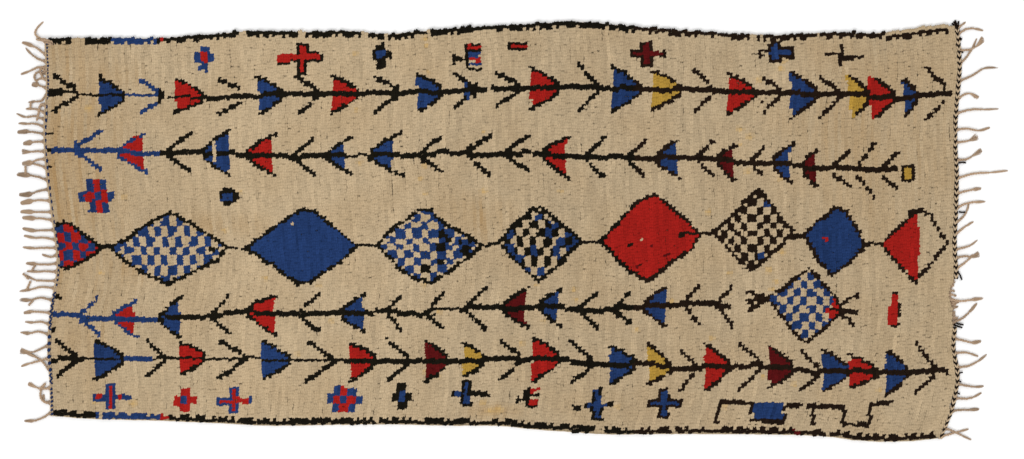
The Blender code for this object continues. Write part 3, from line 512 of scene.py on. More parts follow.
RIGHT_UPPER_STRANDS = (
    (67.8, 2.6, 2, 0, 0, "plain"), (65.9, 8.3, 1, 1.2, 1, "plain"), (60.3, 7.8, 4.1, -1.3, -1.2, "brush"),
    (55.9, 5.4, 8.4, -0.5, -0.5, "plain"), (50.1, 12.8, 4.6, 0.3, 1.2, "plain"),
    (44, 6.8, 0.4, 1.5, 1.6, "brush"), (39.3, 14, 1.5, 0.7, 0.3, "plain"),
    (33.8, 11.3, 0.8, 0.1, -0.8, "plain"), (29.6, 7.2, 2, -0.5, -0.5, "brush"),
    (23.7, 8.2, 3.3, -0.9, -0.5, "brush"), (17.7, 16.8, 2.5, 0.6, 0.2, "plain"),
    (12.6, 8, 1.6, 0.1, 0.2, "tuft"), (7.7, 9.5, 2.2, 0.7, 0.5, "tuft"),
    (2.8, 4.2, 6.8, -0.9, -0.9, "plain"), (-1.2, 6, 4.3, 0.3, 0.3, "plain"),
    (-6.1, 7.3, 3.1, -0.6, -0.7, "plain"), (-9, 7.7, 1.4, 0.1, -0.5, "brush"),
    (-12.4, 5.4, 4.6, -0.3, -0.3, "plain"),
)
FRAYED_STRANDS = (
    (-18.3, 1.2, 0.1, 0, 0, "plain"), (-19.6, 2, -0.5, 0, 0, "plain"),
    (-21.1, 2.6, -0.6, 0.1, 0.1, "plain"), (-22.9, 11.4, 0.4, -0.6, -0.3, "tuft"),
    (-25.9, 2.2, 0.7, 0, 0, "plain"), (-30.7, 8.4, 6.6, -0.9, -0.7, "tuft"),
)
RIGHT_LOWER_STRANDS = (
    (-35.8, 8.8, -1.1, -0.4, -0.7, "tuft"), (-40.8, 7.8, -1, 0.6, 0.5, "plain"),
    (-45.5, 9.7, 4.2, -1, -0.8, "plain"), (-51, 8.7, -0.8, -0.4, -0.5, "plain"),
    (-55.7, 8.7, 1.7, -0.9, -0.9, "plain"), (-60, 9, 0.5, 0.1, 0, "tuft"),
    (-65.8, 8.7, -4, 0.1, 0.1, "plain"), (-68.5, 9, 2.4, 0, 0, "plain"),
)

# Yarns that link or loop between strands at the left end, as (points, height of the hump)
LINKS = (
    (((-156.4, 64.1), (-155.4, 63.7), (-154, 63.5), (-152.6, 63.6), (-151.2, 63.1), (-149.9, 62)), 1.6),
    (((-153.6, 62.9), (-152.6, 62.9), (-151.6, 62.5), (-150.6, 61.7)), 1.5),
    (
        (
            (-153.2, 53.2), (-154.2, 54), (-154.9, 54.1), (-155.3, 53.4), (-155, 52.6), (-154.5, 51.6),
            (-154.1, 50.8),
        ),
        0.4,
    ),
    (((-155.3, 53.1), (-155.9, 53), (-156.6, 52.6), (-157.1, 51.7), (-157, 50.9), (-156.6, 50.2)), 0.7),
    (((-158.2, 43.2), (-158.3, 42.1), (-158.4, 41)), 0.7),
    (
        (
            (-153.1, 41.4), (-154.1, 42.2), (-154.8, 42.3), (-155.3, 41.4), (-155.6, 39.7), (-156, 37.9),
            (-156.3, 36.8),
        ),
        0.7,
    ),
    (((-160.1, 21.6), (-160, 20.4), (-160.1, 19.2)), 0.7),
    (((-156.8, -11.4), (-157.4, -12.3), (-158, -13.4)), 0.6),
    (((-158.4, -16.8), (-159, -18.2), (-159.7, -19.7)), 0.6),
    (((-160.9, -14.2), (-159.9, -15.1), (-159, -16.1)), 0.4),
    (((-157.6, -23.3), (-158.3, -24), (-159, -24.8)), 0.3),
    (((-154.9, -52.9), (-155.1, -54.4), (-154.9, -55.8), (-154.2, -56.8), (-152.8, -57.4)), 0.6),
    (((-155.3, -52.9), (-154.6, -52), (-153.5, -50.9)), 0.5),
    (((-154.2, -52.5), (-154, -51.7), (-153.4, -50.8)), 0.5),
)

# Ends of the dark yarn that stick out of the right end, as points
DARK_ENDS = (
    ((149.2, 69.3), (150.2, 68.4), (151.2, 66.4)), ((150.2, 70.3), (150.9, 68.7), (151.6, 66.8)),
    ((149.8, 69.9), (150.6, 68.6), (151.4, 67.2)), ((151.4, 70), (151.3, 68.4), (150.6, 66.9)),
    ((148.6, 68.4), (149.8, 67.8), (151, 67.4)), ((151.7, 64.5), (152.4, 64.1), (152, 63.6)),
    ((151.7, 60), (152.3, 59.9), (152.9, 59.5)), ((151.5, 22.7), (152.6, 22.9), (153.8, 22.8)),
    ((151.5, 6.4), (152.5, 6.2), (153.5, 6.3)), ((151.1, -13.4), (151.9, -14.8), (152.5, -16.3)),
    ((149.9, -30.4), (151.4, -31), (153, -31.3)), ((149.8, -31.2), (151.3, -31.9), (152.6, -32.3)),
    ((151.4, -47.5), (152.1, -47.3), (152.7, -47.2)), ((151.2, -50), (151.8, -50.2), (152.3, -50.4)),
    ((150.6, -54), (151.2, -54.2), (151.8, -54.4)),
)

# Where the left end's cord and the right end's two run, as (from y, to y), and how far out from the field's
# edge the strands' roots lie on the cords and in the frayed gap
CORD_ROOTS, FRAYED_ROOTS = 1.3, 0.2
LEFT_CORD = (-61.8, 63.9)
UPPER_CORD = (-16.0, 68.4)
LOWER_CORD = (-69.3, -32.0)

# The indigo that shows on the left end's twining, as (from y, to y, pitch, length, leans, ply radius, how far
# out from the field's edge). Where it leans both ways it runs on as a zigzag.
DASHES = (
    (43.6, 63.6, 1.21, 0.72, (0.04,), 0.3, 0.5), (-9.4, 43.4, 2.26, 1.2, (0.06,), 0.34, 0.5),
    (-18.8, -9.6, 1.62, 0.75, (0.06,), 0.3, 0.55), (-33.6, -18.9, 1.84, 1, (0.6, -0.6), 0.29, 0.75),
    (-47.4, -34, 2.2, 0.9, (-0.25,), 0.56, 0.78), (-51.6, -47.8, 1.9, 1, (0.6, -0.6), 0.29, 0.75),
    (-61.7, -51.9, 1.38, 0.6, (-0.4,), 0.38, 0.72),
)

# How a strand ends: the fibres of its tassel, half the width that they spread to, the share of the tassel at
# which they have spread, and the share of the strand at which its plied yarn ends
ENDINGS = {
    "plain": (7, 0.42, 0.4, 0.62), "tuft": (9, 0.6, 0.25, 0.68), "knot": (14, 0.9, 0.22, 0.58),
    "brush": (15, 1.1, 1.0, 0.54),
}

# Where the frayed gap's loose warps end, as (y, reach), and where most of them lean together
FRAYED_REACH = (
    (-31.6, 1.0), (-29.6, 2.8), (-27.6, 1.1), (-25.4, 1.7), (-23.4, 4.0), (-21.7, 1.7), (-20.4, 0.6),
    (-18.6, 0.6), (-16.5, 1.2),
)
FRAYED_LOCK = -23.4

# The pile's yarns, as (name, yarn, its darkest and lightest tone, sheen, pieces), and the shapes of tuft
PILE_YARNS = (
    ("cream", CREAM, 0.82, 1.14, 0.05, 5), ("black", BLACK, 0.7, 1.4, 0.0, 1),
    ("brown", BROWN, 0.7, 1.3, 0.0, 1), ("indigo", INDIGO, 0.75, 1.25, 0.01, 1),
    ("red", RED, 0.82, 1.14, 0.01, 1), ("maroon", MAROON, 0.75, 1.25, 0.01, 1),
    ("yellow", YELLOW, 0.84, 1.14, 0.03, 1),
)
TUFT_KINDS = 6

# Seeds, one for each thing that is uneven
SEED_ROWS, SEED_KNOTS, SEED_FRINGE, SEED_FRAY = 5, 7, 13, 17


def linear(code):
    """The linear colour of an sRGB hex value."""
    channels = [int(code[i:i + 2], 16) / 255 for i in (1, 3, 5)]
    return tuple(c / 12.92 if c <= 0.04045 else ((c + 0.055) / 1.055) ** 2.4 for c in channels)


def colour(name, code):
    return bpy.props.FloatVectorProperty(
        name=name, description=f"Colour of the {name.lower()}", subtype="COLOR", size=3, min=0, max=1,
        default=linear(code),
    )


def measure(name, about, default, low, high, kind=("DISTANCE", "LENGTH")):
    """A size, or with ANGLE a turn, that a user may change."""
    return bpy.props.FloatProperty(
        name=name, description=about, default=default, min=low, max=high, subtype=kind[0], unit=kind[1])


ANGLE = ("ANGLE", "ROTATION")


class RugSizes(bpy.types.PropertyGroup):
    """Sizes of the knots, the ground and the yarns"""
    knot_along: measure("Row pitch", "From one row of knots to the next, along the rug", 0.011, 0.006, 0.03)
    knot_across: measure("Knot pitch", "From knot to knot in a row", 0.009, 0.006, 0.03)
    foundation: measure("Foundation", "Thickness of the woven ground under the pile", 0.003, 0.001, 0.006)
    selvedge: measure("Lower selvedge", "From the lower edge to the first knots", 0.0125, 0.004, 0.03)
    upper_selvedge: measure("Upper selvedge", "From the upper edge to the last knots", 0.0065, 0.002, 0.03)
    lean: measure("Lean", "How far single knots lean out of line", 0.16, 0, 0.6, ANGLE)
    slant: measure("Slant", "How far the pile's lie turns from the rug's width", -0.12, -1, 1, ANGLE)
    dash_turn: measure("Left turn", "One turn of the left end's undyed twining", 0.0122, 0.005, 0.04)
    chain_turn: measure("Chain turn", "One turn of the two-row twining", 0.02, 0.005, 0.05)
    warp: measure("Warp ply", "Radius of one of the two plies of a fringe strand", 0.0023, 0.0005, 0.003)
    fibre: measure("Warp fibre", "Radius of a lock of loosened fibre in a tassel", 0.0017, 0.0003, 0.003)


class RugColours(bpy.types.PropertyGroup):
    """Colours of the yarns and of their wear"""
    cream: colour("Cream ground", "#BFA988")
    dirt: colour("Walked-on ground", "#AB8C62")
    stain: colour("Yellowed spots", "#C9A25C")
    black: colour("Black yarn", "#16130C")
    brown: colour("Browned black yarn", "#22170F")
    indigo: colour("Indigo yarn", "#213865")
    red: colour("Madder yarn", "#A31E18")
    maroon: colour("Maroon yarn", "#571011")
    yellow: colour("Yellow yarn", "#B28D3B")
    warp: colour("Warp yarn", "#AE947A")
    twining: colour("Undyed twining", "#C0A98A")


def mix(a, b, share):
    return a + (b - a) * share


def smooth(points):
    """A smooth function through (place, value) points, each with the slope between its two neighbours."""
    places = [p for p, _ in points]
    values = [v for _, v in points]
    last = len(points) - 1
    slopes = []
    for i in range(last + 1):
        before, after = max(i - 1, 0), min(i + 1, last)
        slopes.append((values[after] - values[before]) / (places[after] - places[before]))

    def value(place):
        i = min(max(bisect_right(places, place) - 1, 0), last - 1)
        span = places[i + 1] - places[i]
        t = min(max((place - places[i]) / span, 0.0), 1.0)
        ends = values[i] * (1 + 2 * t) * (1 - t) ** 2 + values[i + 1] * t * t * (3 - 2 * t)
        return ends + span * (slopes[i] * t * (1 - t) ** 2 - slopes[i + 1] * t * t * (1 - t))

    return value


def straight(points, place):
    """The value at a place on straight runs through (place, value) points, held past their ends."""
    places = [p for p, _ in points]
    place = min(max(place, places[0]), places[-1])
    i = min(bisect_right(places, place), len(points) - 1)
    (p, v), (q, w) = points[i - 1], points[i]
    return mix(v, w, (place - p) / (q - p))


lower_y = smooth(LOWER_SIDE)
upper_y = smooth(UPPER_SIDE)
left_x = smooth([(y, x) for x, y in LEFT_END])
right_x = smooth([(y, x) for x, y in RIGHT_END])


def field_point(u, v):
    """A point of the field in plan, u along the rug and v across it from 0 to 1, between its four edges."""
    (x00, y00), (x10, y10) = LOWER_SIDE[0], LOWER_SIDE[-1]
    (x01, y01), (x11, y11) = UPPER_SIDE[0], UPPER_SIDE[-1]
    lower_x, upper_x = mix(x00, x10, u), mix(x01, x11, u)
    start_y, end_y = mix(y00, y01, v), mix(y10, y11, v)
    x = mix(left_x(start_y), right_x(end_y), u)
    y = mix(lower_y(lower_x), upper_y(upper_x), v) + mix(start_y, end_y, u)
    y -= mix(mix(y00, y10, u), mix(y01, y11, u), v)
    near_end = min(max(1 - (right_x(end_y) - x) / BITE_REACH, 0.0), 1.0)
    return x - straight(BITE, end_y) * near_end ** 2, y


def edge_x(outward):
    """The field's edge at one end, as a function of y."""
    table = [(y, x) for x, y in (field_point(max(outward, 0), i / 240) for i in range(241))]
    return lambda y: straight(table, y)


def wave_height(x, y):
    """The pile's height above the floor, in cm, with its low waves."""
    height = PILE_TOP / CM - 0.16
    for amplitude, along, across, phase in WAVES:
        height = height + amplitude * np.sin(math.tau * x / along + phase) * np.sin(
            math.tau * y / across + 2 * phase)
    return height


def new_material(name, values):
    """A material with the given values on its shader's sockets, its node tree and its shader."""
    made = bpy.data.materials.new(name)
    made.use_nodes = True
    shader = made.node_tree.nodes["Principled BSDF"]
    for socket, value in values.items():
        shader.inputs[socket].default_value = value
    return made, made.node_tree, shader


def add_node(tree, kind, inputs=None, out=0, **settings):
    """Adds a node with its settings and its inputs, set or linked by name or number. Gives one output."""
    made = tree.nodes.new(kind)
    for name, value in settings.items():
        setattr(made, name, value)
    for key, value in (inputs or {}).items():
        if isinstance(value, bpy.types.NodeSocket):
            tree.links.new(value, made.inputs[key])
        else:
            made.inputs[key].default_value = value
    return made.outputs[out]


def new_tree(name, sockets):
    """A Geometry Nodes tree with named inputs, as (name, kind, default), with its inputs and its result."""
    tree = bpy.data.node_groups.new(name, "GeometryNodeTree")
    tree.interface.new_socket("Geometry", in_out="INPUT", socket_type="NodeSocketGeometry")
    for label, kind, default in sockets:
        socket = tree.interface.new_socket(label, in_out="INPUT", socket_type=f"NodeSocket{kind}")
        if default is not None:
            socket.default_value = default
    tree.interface.new_socket("Geometry", in_out="OUTPUT", socket_type="NodeSocketGeometry")
    given, result = tree.nodes.new("NodeGroupInput"), tree.nodes.new("NodeGroupOutput")
    return tree, given.outputs, result.inputs[0]


def grow(obj, tree, values):
    """Runs a tree on an object and leaves the result as its plain mesh."""
    modifier = obj.modifiers.new("Grow", "NODES")
    modifier.node_group = tree
    for item in tree.interface.items_tree:
        if item.in_out == "INPUT" and item.name in values:
            modifier[item.identifier] = values[item.name]
    graph = bpy.context.evaluated_depsgraph_get()
    made = bpy.data.meshes.new_from_object(
        obj.evaluated_get(graph), preserve_all_data_layers=True, depsgraph=graph)
    obj.modifiers.clear()
    old, obj.data = obj.data, made
    bpy.data.meshes.remove(old)
    made.name = obj.name
    if not made.polygons:
        raise RuntimeError(f"{obj.name} came out empty")


def add_mesh_object(name, points, edges=(), faces=(), attributes=None):
    """A linked mesh object with float attributes on its points."""
    mesh = bpy.data.meshes.new(name)
    mesh.from_pydata(points, edges, faces)
    for label, values in (attributes or {}).items():
        layer = mesh.attributes.new(label, "FLOAT", "POINT")
        layer.data.foreach_set("value", np.asarray(values, np.float32))
    obj = bpy.data.objects.new(name, mesh)
    bpy.context.scene.collection.objects.link(obj)
    return obj


def belong(obj, slot, *nodes):
    """The finished piece rides on the rug's one body and replaces solids. Its slot is not used."""
    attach(obj, "root")
    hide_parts(*nodes)


def wool(name, base, low, high, fibre, sheen, pile=False, worn=None):
    """Hand-spun wool, matt and hairy: the base colour varies by knot from low to high times itself, with
    finer streaks of fibre, their size in metres, a faint sheen from its hairs, and no gloss. Pile wool has
    painted shade: it is darker down in the pile, at each tuft's rim and root, than at its cut tips."""
    made, tree, shader = new_material(name, {
        "Roughness": 0.92, "IOR": 1.45, "Specular IOR Level": 0.06, "Sheen Weight": sheen,
        "Sheen Roughness": 0.6})
    place = add_node(tree, "ShaderNodeTexCoord", out="Object")
    tone = add_node(tree, "ShaderNodeAttribute", out="Fac", attribute_name="tone")
    now = add_node(tree, "ShaderNodeMix", {
        0: tone, 6: (*(c * low for c in base), 1), 7: (*(min(c * high, 1) for c in base), 1)},
        out=2, data_type="RGBA")
    if worn:
        now = worn(tree, place, now)
    if pile:
        # Painted shade: colour darkens from each tuft's tip down to its rim, for the shade within the pile
        rise = add_node(tree, "ShaderNodeAttribute", out="Fac", attribute_name="rise")
        depth = add_node(tree, "ShaderNodeMapRange", {"Value": rise, "To Min": 0.72, "To Max": 1.05})
        now = add_node(tree, "ShaderNodeVectorMath", {0: now, "Scale": depth}, operation="SCALE")
    grain = add_node(tree, "ShaderNodeTexNoise", {
        "Vector": place, "Scale": 1 / fibre, "Detail": 2.0, "Roughness": 0.6})
    light = add_node(tree, "ShaderNodeMapRange", {
        "Value": grain, "From Min": 0.3, "From Max": 0.7, "To Min": 0.9, "To Max": 1.08})
    streaked = add_node(tree, "ShaderNodeVectorMath", {0: now, "Scale": light}, operation="SCALE")
    tree.links.new(streaked, shader.inputs["Base Color"])
    bump = add_node(tree, "ShaderNodeBump", {"Height": grain, "Strength": 0.35, "Distance": fibre / 3})
    tree.links.new(bump, shader.inputs["Normal"])
    return made


def wear_of_ground(colours):
    """Cream ground browns where it is walked on and has yellowed spots, both by attributes of each knot, and
    its cream drifts over 20 to 30 cm, as one spinning of wool follows another."""
    def worn(tree, place, now):
        drift = add_node(tree, "ShaderNodeTexNoise", {"Vector": place, "Scale": 4.5, "Detail": 2.0})
        drift = add_node(tree, "ShaderNodeMapRange", {
            "Value": drift, "From Min": 0.42, "From Max": 0.68, "To Min": 0.0, "To Max": 0.22})
        dirt, stain = (add_node(tree, "ShaderNodeAttribute", out="Fac", attribute_name=name)
                       for name in ("dirt", "stain"))
        for share, tint in ((drift, colours.dirt), (dirt, colours.dirt), (stain, colours.stain)):
            now = add_node(tree, "ShaderNodeMix", {0: share, 6: now, 7: (*tint, 1)}, out=2, data_type="RGBA")
        return now

    return worn


def woven_ground(colours):
    """The back of the weave: undyed wool wefts packed over the warps, so ribs 5 mm apart run along the rug,
    crossed every 11 mm by a row of knots, matt, with painted shade: a little darker than the pile, and
    darker still where the weave's relief is low."""
    made, tree, shader = new_material("woven_wool_ground", {
        "Roughness": 0.95, "Specular IOR Level": 0.1, "Sheen Weight": 0.15})
    place = add_node(tree, "ShaderNodeTexCoord", out="Object")
    # A wave texture turns through 20 radians in each unit at a scale of 1.
    warps, wefts = (
        add_node(tree, "ShaderNodeTexWave", {
            "Vector": place, "Scale": math.tau / (pitch * 20), "Distortion": distortion, "Detail": 2.0},
            out="Fac", bands_direction=direction)
        for pitch, distortion, direction in ((0.005, 1.2, "Y"), (0.011, 2.0, "X")))
    relief = add_node(tree, "ShaderNodeMath", {0: warps, 1: wefts}, operation="ADD")
    # Painted shade: the colour darkens where the weave's relief is low, in the hollows between its ribs
    share = add_node(tree, "ShaderNodeMapRange", {
        "Value": relief, "From Min": 0.2, "From Max": 1.6, "To Min": 0.0, "To Max": 1.0})
    now = add_node(tree, "ShaderNodeMix", {
        0: share, 6: (*(c * 0.62 for c in colours.cream), 1), 7: (*(c * 0.95 for c in colours.cream), 1)},
        out=2, data_type="RGBA")
    tree.links.new(now, shader.inputs["Base Color"])
    bump = add_node(tree, "ShaderNodeBump", {"Height": relief, "Strength": 0.6, "Distance": 0.0012})
    tree.links.new(bump, shader.inputs["Normal"])
    return made


class Chart:
    """The yarn of every knot, filled in shape by shape as a weaver counts it out. Places are in cm."""

    def __init__(self, knots, across):
        self.knots = knots
        self.across = across
        self.yarns = np.full(len(knots), CREAM)

    def paint(self, found, yarn):
        if yarn == DARK:
            self.yarns[found & (self.knots[:, 0] < DARK_TURNS)] = BLACK
            self.yarns[found & (self.knots[:, 0] >= DARK_TURNS)] = BROWN
        else:
            self.yarns[found] = yarn

    def near(self, points, reach):
        found = np.zeros(len(self.knots), bool)
        for start, end in zip(points, points[1:]):
            start, run = np.array(start, float), np.subtract(end, start).astype(float)
            share = np.clip((self.knots - start) @ run / max(run @ run, 1e-9), 0, 1)
            away = self.knots - start - share[:, None] * run
            found |= np.hypot(away[:, 0], away[:, 1]) < reach
        return found

    def inside(self, corners):
        found = np.zeros(len(self.knots), bool)
        x, y = self.knots.T
        for (x0, y0), (x1, y1) in zip(corners, (*corners[1:], corners[0])):
            if y0 != y1:
                crossed = (y < y0) != (y < y1)
                found ^= crossed & (x < x0 + (y - y0) * (x1 - x0) / (y1 - y0))
        return found

    def line(self, points, width, yarn):
        self.paint(self.near(points, width / 2), yarn)

    def run(self, points, thick, yarn):
        """A line along the rug, as many knots thick in every row."""
        places, heights = zip(*sorted(points))
        x, y = self.knots.T
        away = np.abs(y - np.interp(x, places, heights))
        away = np.where((x > places[0]) & (x < places[-1]), away, np.inf)
        nearest = np.sort(away.reshape(-1, self.across), axis=1)[:, thick - 1]
        self.paint((away < 0.5 + 0.5 * thick) & (away <= np.repeat(nearest, self.across)), yarn)

    def area(self, corners, yarn):
        self.paint(self.inside(corners), yarn)


def chart_tree(chart, tree):
    """One tree: arrow heads in colour with dark edges, forks, and the spine that strings them together."""
    runs = [point for run in tree["spine"] for point in run]
    for flat, apex, tip, above, below, yarn, *more in tree["arrows"]:
        middle = straight(runs, apex)
        outline, skew, bare = (*more, *(DARK, 0.0, 0.0)[len(more):])
        for edge in (above, below):
            side = math.copysign(1, edge - middle)
            if side < 0:
                flat, tip = flat + skew, tip + skew
            shoulder = middle + side * ARROW_SHOULDER
            brow = mix(shoulder, edge, 0.5) + side * ARROW_BULGE
            past = 2 * (flat - apex) / (tip - apex) - 1
            root = flat + skew / 2 * side
            halfway = mix(apex, tip, 0.5)
            last = (mix(tip, halfway, 2 * bare), mix(edge, brow, 2 * bare))
            chart.area(((root, middle), (apex, middle), (apex, shoulder), (halfway, brow),
                        (flat, mix(brow, edge, past))), yarn)
            chart.line(((apex, middle), (apex, shoulder), (halfway, brow), last), OUTLINE, outline)
    for start, apex, above, below, *more in tree["forks"]:
        middle = straight(runs, apex)
        yarn, apart = (*more, *(DARK, "")[len(more):])
        for arm, edge in (("upper", above), ("lower", below)):
            joined = apart not in (arm, "both")
            root = middle + math.copysign(tree["root"] if joined else ARM_GAP, edge - middle)
            points = ((start, edge), (mix(start, apex, ARM_BEND), root))
            chart.run(points, 2, yarn)
            chart.line((*points, (apex, middle)) if joined else points, ARM_WIDTH, yarn)
    for run in tree["spine"]:
        for place, (x, yarn, thick) in enumerate(tree["bands"]):
            end = tree["bands"][place + 1][0] if place + 1 < len(tree["bands"]) else math.inf
            low, high = max(x, run[0][0]), min(end, run[-1][0])
            if low < high:
                inner = [point for point in run if low < point[0] < high]
                points = [(low, straight(run, low)), *inner, (high, straight(run, high))]
                chart.run(points, thick, yarn)


def chart_lozenges(chart):
    for corners, yarn, _ in LOZENGES:
        chart.area(corners, yarn)
    x, y = chart.knots.T
    for which, edge, width, rows, yarn in CHECKS:
        even = (np.floor((x - edge) / width) + np.searchsorted(np.negative(rows), -y)) % 2 == 1
        chart.paint(chart.inside(LOZENGES[which][0]) & even, yarn)
    for corners, yarn in PATCHES:
        chart.area(corners, yarn)
    for corners, _, yarn in LOZENGES:
        chart.line((*corners, corners[0]), OUTLINE, yarn)
    for points, width, yarn in LINES:
        chart.line(points, width, yarn)


def charted(knots, rows_in, last_row):
    """The yarn of each knot. rows_in counts knots in from the lower edge."""
    chart = Chart(knots, last_row + 1)
    x, y = knots.T
    for tree in TREES:
        chart_tree(chart, tree)
    chart_lozenges(chart)
    for x0, x1, y0, y1, yarn in BLOCKS:
        chart.paint((x > x0) & (x < x1) & (y > y0 - BLOCK_REACH) & (y < y1 + BLOCK_REACH), yarn)
    for fleck_x, fleck_y, radius, yarn in FLECKS:
        chart.paint(np.hypot(x - fleck_x, y - fleck_y) < radius, yarn)
    chance = np.random.default_rng(SEED_ROWS)
    row = np.arange(len(x)) // (last_row + 1)
    share = chance.random(row[-1] + 1)[row]
    deep = 1 + (share > np.where(x < BORDER_DEEP_TO, 0.1, 0.4))
    inset = (x > UPPER_INSET_FROM).astype(int)
    lower = rows_in < deep
    upper = (last_row - rows_in < deep + inset) & (last_row - rows_in >= inset)
    for table, edge in ((LOWER_BORDER, lower), (UPPER_BORDER, upper)):
        for start, end, yarn in table:
            chart.paint(edge & (x > start) & (x < end), yarn)
    return chart.yarns


def streaks(chance, rows, across, length):
    """Noise that runs on for about length knots within each row, with a spread of 1."""
    window = np.hanning(length + 2)
    rough = chance.normal(size=(rows, across + length))
    runs = np.array([np.convolve(row, window, "same")[length // 2:length // 2 + across] for row in rough])
    return runs / runs.std()


def knot_places(sizes):
    """Every knot's place in plan in cm, as laid out and as knotted, its row along the rug and its count in
    from the lower edge."""
    along = round(FIELD_LENGTH / (sizes.knot_along / CM))
    across = round(FIELD_WIDTH / (sizes.knot_across / CM))
    chance = np.random.default_rng(SEED_KNOTS)
    places = []
    for i in range(along):
        u = (i + 0.5) / along
        (_, y0), (_, y1) = field_point(u, 0), field_point(u, 1)
        for j in range(across):
            y = mix(y0 + sizes.selvedge / CM, y1 - sizes.upper_selvedge / CM, j / (across - 1))
            places.append(field_point(u, (y - y0) / (y1 - y0)))
    places = np.array(places)
    laid_out = places.copy()
    places += chance.normal(0, (0.07, 0.14), places.shape)
    places[:, 0] += 0.09 * streaks(chance, along, across, 9).ravel()
    places[:, 1] += np.repeat(chance.uniform(-0.22, 0.22, along), across)
    row, count = np.divmod(np.arange(along * across), across)
    strayed = np.abs(chance.normal(0, 0.2, len(places)))
    places[:, 1] += np.where(count == across - 1, strayed, np.where(count == 0, -strayed, 0.0))
    return laid_out, places, row, count


def crease_distance(x, y):
    """How far along the rug each place lies from the parting, and nothing near it past the parting's ends."""
    line = [(b, a) for a, b in CREASE[::-1]]
    away = x - np.array([straight(line, place) for place in y])
    return np.where((y > CREASE[-1][1]) & (y < CREASE[0][1]), away, np.inf)


def knot_looks(knots, row):
    """Each knot's tone, dirt, yellowing and height. Tone runs in streaks within the rows, as wool does, and
    near the parting it is painted darker, as painted shade in the crease.
    """
    chance = np.random.default_rng(SEED_ROWS)
    x, y = knots.T
    rows = row.max() + 1
    across = len(x) // rows
    tone = 0.5 + 0.08 * chance.normal(size=rows)[row] + 0.15 * streaks(chance, rows, across, 12).ravel()
    tone += chance.normal(0, 0.1, len(x)) + np.interp(x, *zip(*TONE_ALONG_RUG))
    stain = np.zeros(len(x))
    for spot_x, spot_y, radius in STAINS:
        away = np.hypot((x - spot_x) / 1.25, y - spot_y) / (0.7 * radius)
        stain = np.maximum(stain, 0.6 * np.clip(1.25 - away, 0, 1))
    dirt = np.zeros(len(x))
    for shade_x, shade_y, half_x, half_y, amount in SHADES:
        away = np.hypot((x - shade_x) / half_x, (y - shade_y) / half_y)
        dirt = np.maximum(dirt, amount * np.clip(1.2 - away, 0, 1))
    dirt = np.clip(dirt * (1 + 0.45 * streaks(chance, rows, across, 24).ravel()), 0, 1)
    away = np.abs(crease_distance(x, y))
    height = wave_height(x, y) + chance.normal(0, 0.04, len(x)) - 0.3 * np.clip(1 - away / 1.3, 0, 1)
    # Painted shade: knots within 8 mm of the parting are darkened for the shade in the crease
    tone = np.clip(tone - 0.5 * np.clip(1 - away / 0.8, 0, 1), 0, 1)
    return tone, dirt, stain, height


def tuft_mesh(name, chance):
    """One knot: two cut yarn ends side by side, each a blunt cone on a thin root that leans from the other
    and meets its neighbours below its tip."""
    points, faces = [], []
    for way in (-1, 1):
        x, y = np.array((0.27, 0.08)) * way + chance.normal(0, 0.03, 2)
        first = len(points)
        points.append((0.15 * way * CM, 0.04 * way * CM, 0.0))
        turn = chance.random()
        for k in range(5):
            angle = math.tau * (k + turn) / 5
            reach = (1 + chance.normal(0, 0.08)) * CM
            points.append((x * CM + 0.56 * reach * math.cos(angle), y * CM + 0.86 * reach * math.sin(angle),
                           0.66 + chance.normal(0, 0.035)))
        points.append(((x + chance.normal(0, 0.08)) * CM, (y + chance.normal(0, 0.06)) * CM, 1.0))
        for k in range(5):
            here, after = first + 1 + k, first + 1 + (k + 1) % 5
            faces.append((first, after, here))
            faces.append((here, after, first + 6))
    mesh = bpy.data.meshes.new(name)
    mesh.from_pydata(points, [], faces)
    mesh.shade_smooth()
    # rise is 1 at the tip and 0 at the rim and root; the pile wool paints shade down the tuft by it
    rise = mesh.attributes.new("rise", "FLOAT", "POINT")
    rise.data.foreach_set("value", [(0.0, 0.0, 0.0, 0.0, 0.0, 0.0, 1.0)[i % 7] for i in range(len(points))])
    for edge in mesh.edges:
        edge.use_edge_sharp = all(v % 7 not in (0, 6) for v in edge.vertices)
    return bpy.data.objects.new(name, mesh)


def pile_tree():
    """Plants a tuft on every point, turned, leaned and sized by chance, as tall as the point's attribute."""
    tree, given, result = new_tree("knotted_pile", (
        ("Tufts", "Collection", None), ("Yarn", "Material", None), ("Lean", "Float", 0.16),
        ("Slant", "Float", -0.12), ("Seed", "Int", 3),
    ))

    def chance(low, high, step):
        return add_node(tree, "FunctionNodeRandomValue", {2: low, 3: high, "Seed": step}, out=1,
                        data_type="FLOAT")

    lean = given["Lean"]
    back = add_node(tree, "ShaderNodeMath", {0: lean, 1: -1.0}, operation="MULTIPLY")
    turn = add_node(tree, "ShaderNodeMath", {0: given["Slant"], 1: chance(-0.18, 0.18, 1)}, operation="ADD")
    turns = add_node(tree, "ShaderNodeCombineXYZ", {
        "X": chance(back, lean, 2), "Y": chance(back, lean, 3), "Z": turn})
    spin = add_node(tree, "FunctionNodeEulerToRotation", {0: turns})
    tall = add_node(tree, "GeometryNodeInputNamedAttribute", {"Name": "tall"}, data_type="FLOAT")
    size = add_node(tree, "ShaderNodeCombineXYZ", {
        "X": chance(0.92, 1.08, 4), "Y": chance(0.85, 1.15, 5), "Z": tall})
    tufts = add_node(tree, "GeometryNodeCollectionInfo", {
        "Collection": given["Tufts"], "Separate Children": True, "Reset Children": True})
    which = add_node(tree, "FunctionNodeRandomValue", {4: 0, 5: TUFT_KINDS - 1, "Seed": given["Seed"]}, out=2,
                     data_type="INT")
    planted = add_node(tree, "GeometryNodeInstanceOnPoints", {
        "Points": given["Geometry"], "Instance": tufts, "Pick Instance": True, "Instance Index": which,
        "Rotation": spin, "Scale": size})
    real = add_node(tree, "GeometryNodeRealizeInstances", {"Geometry": planted})
    coloured = add_node(tree, "GeometryNodeSetMaterial", {"Geometry": real, "Material": given["Yarn"]})
    tree.links.new(coloured, result)
    return tree


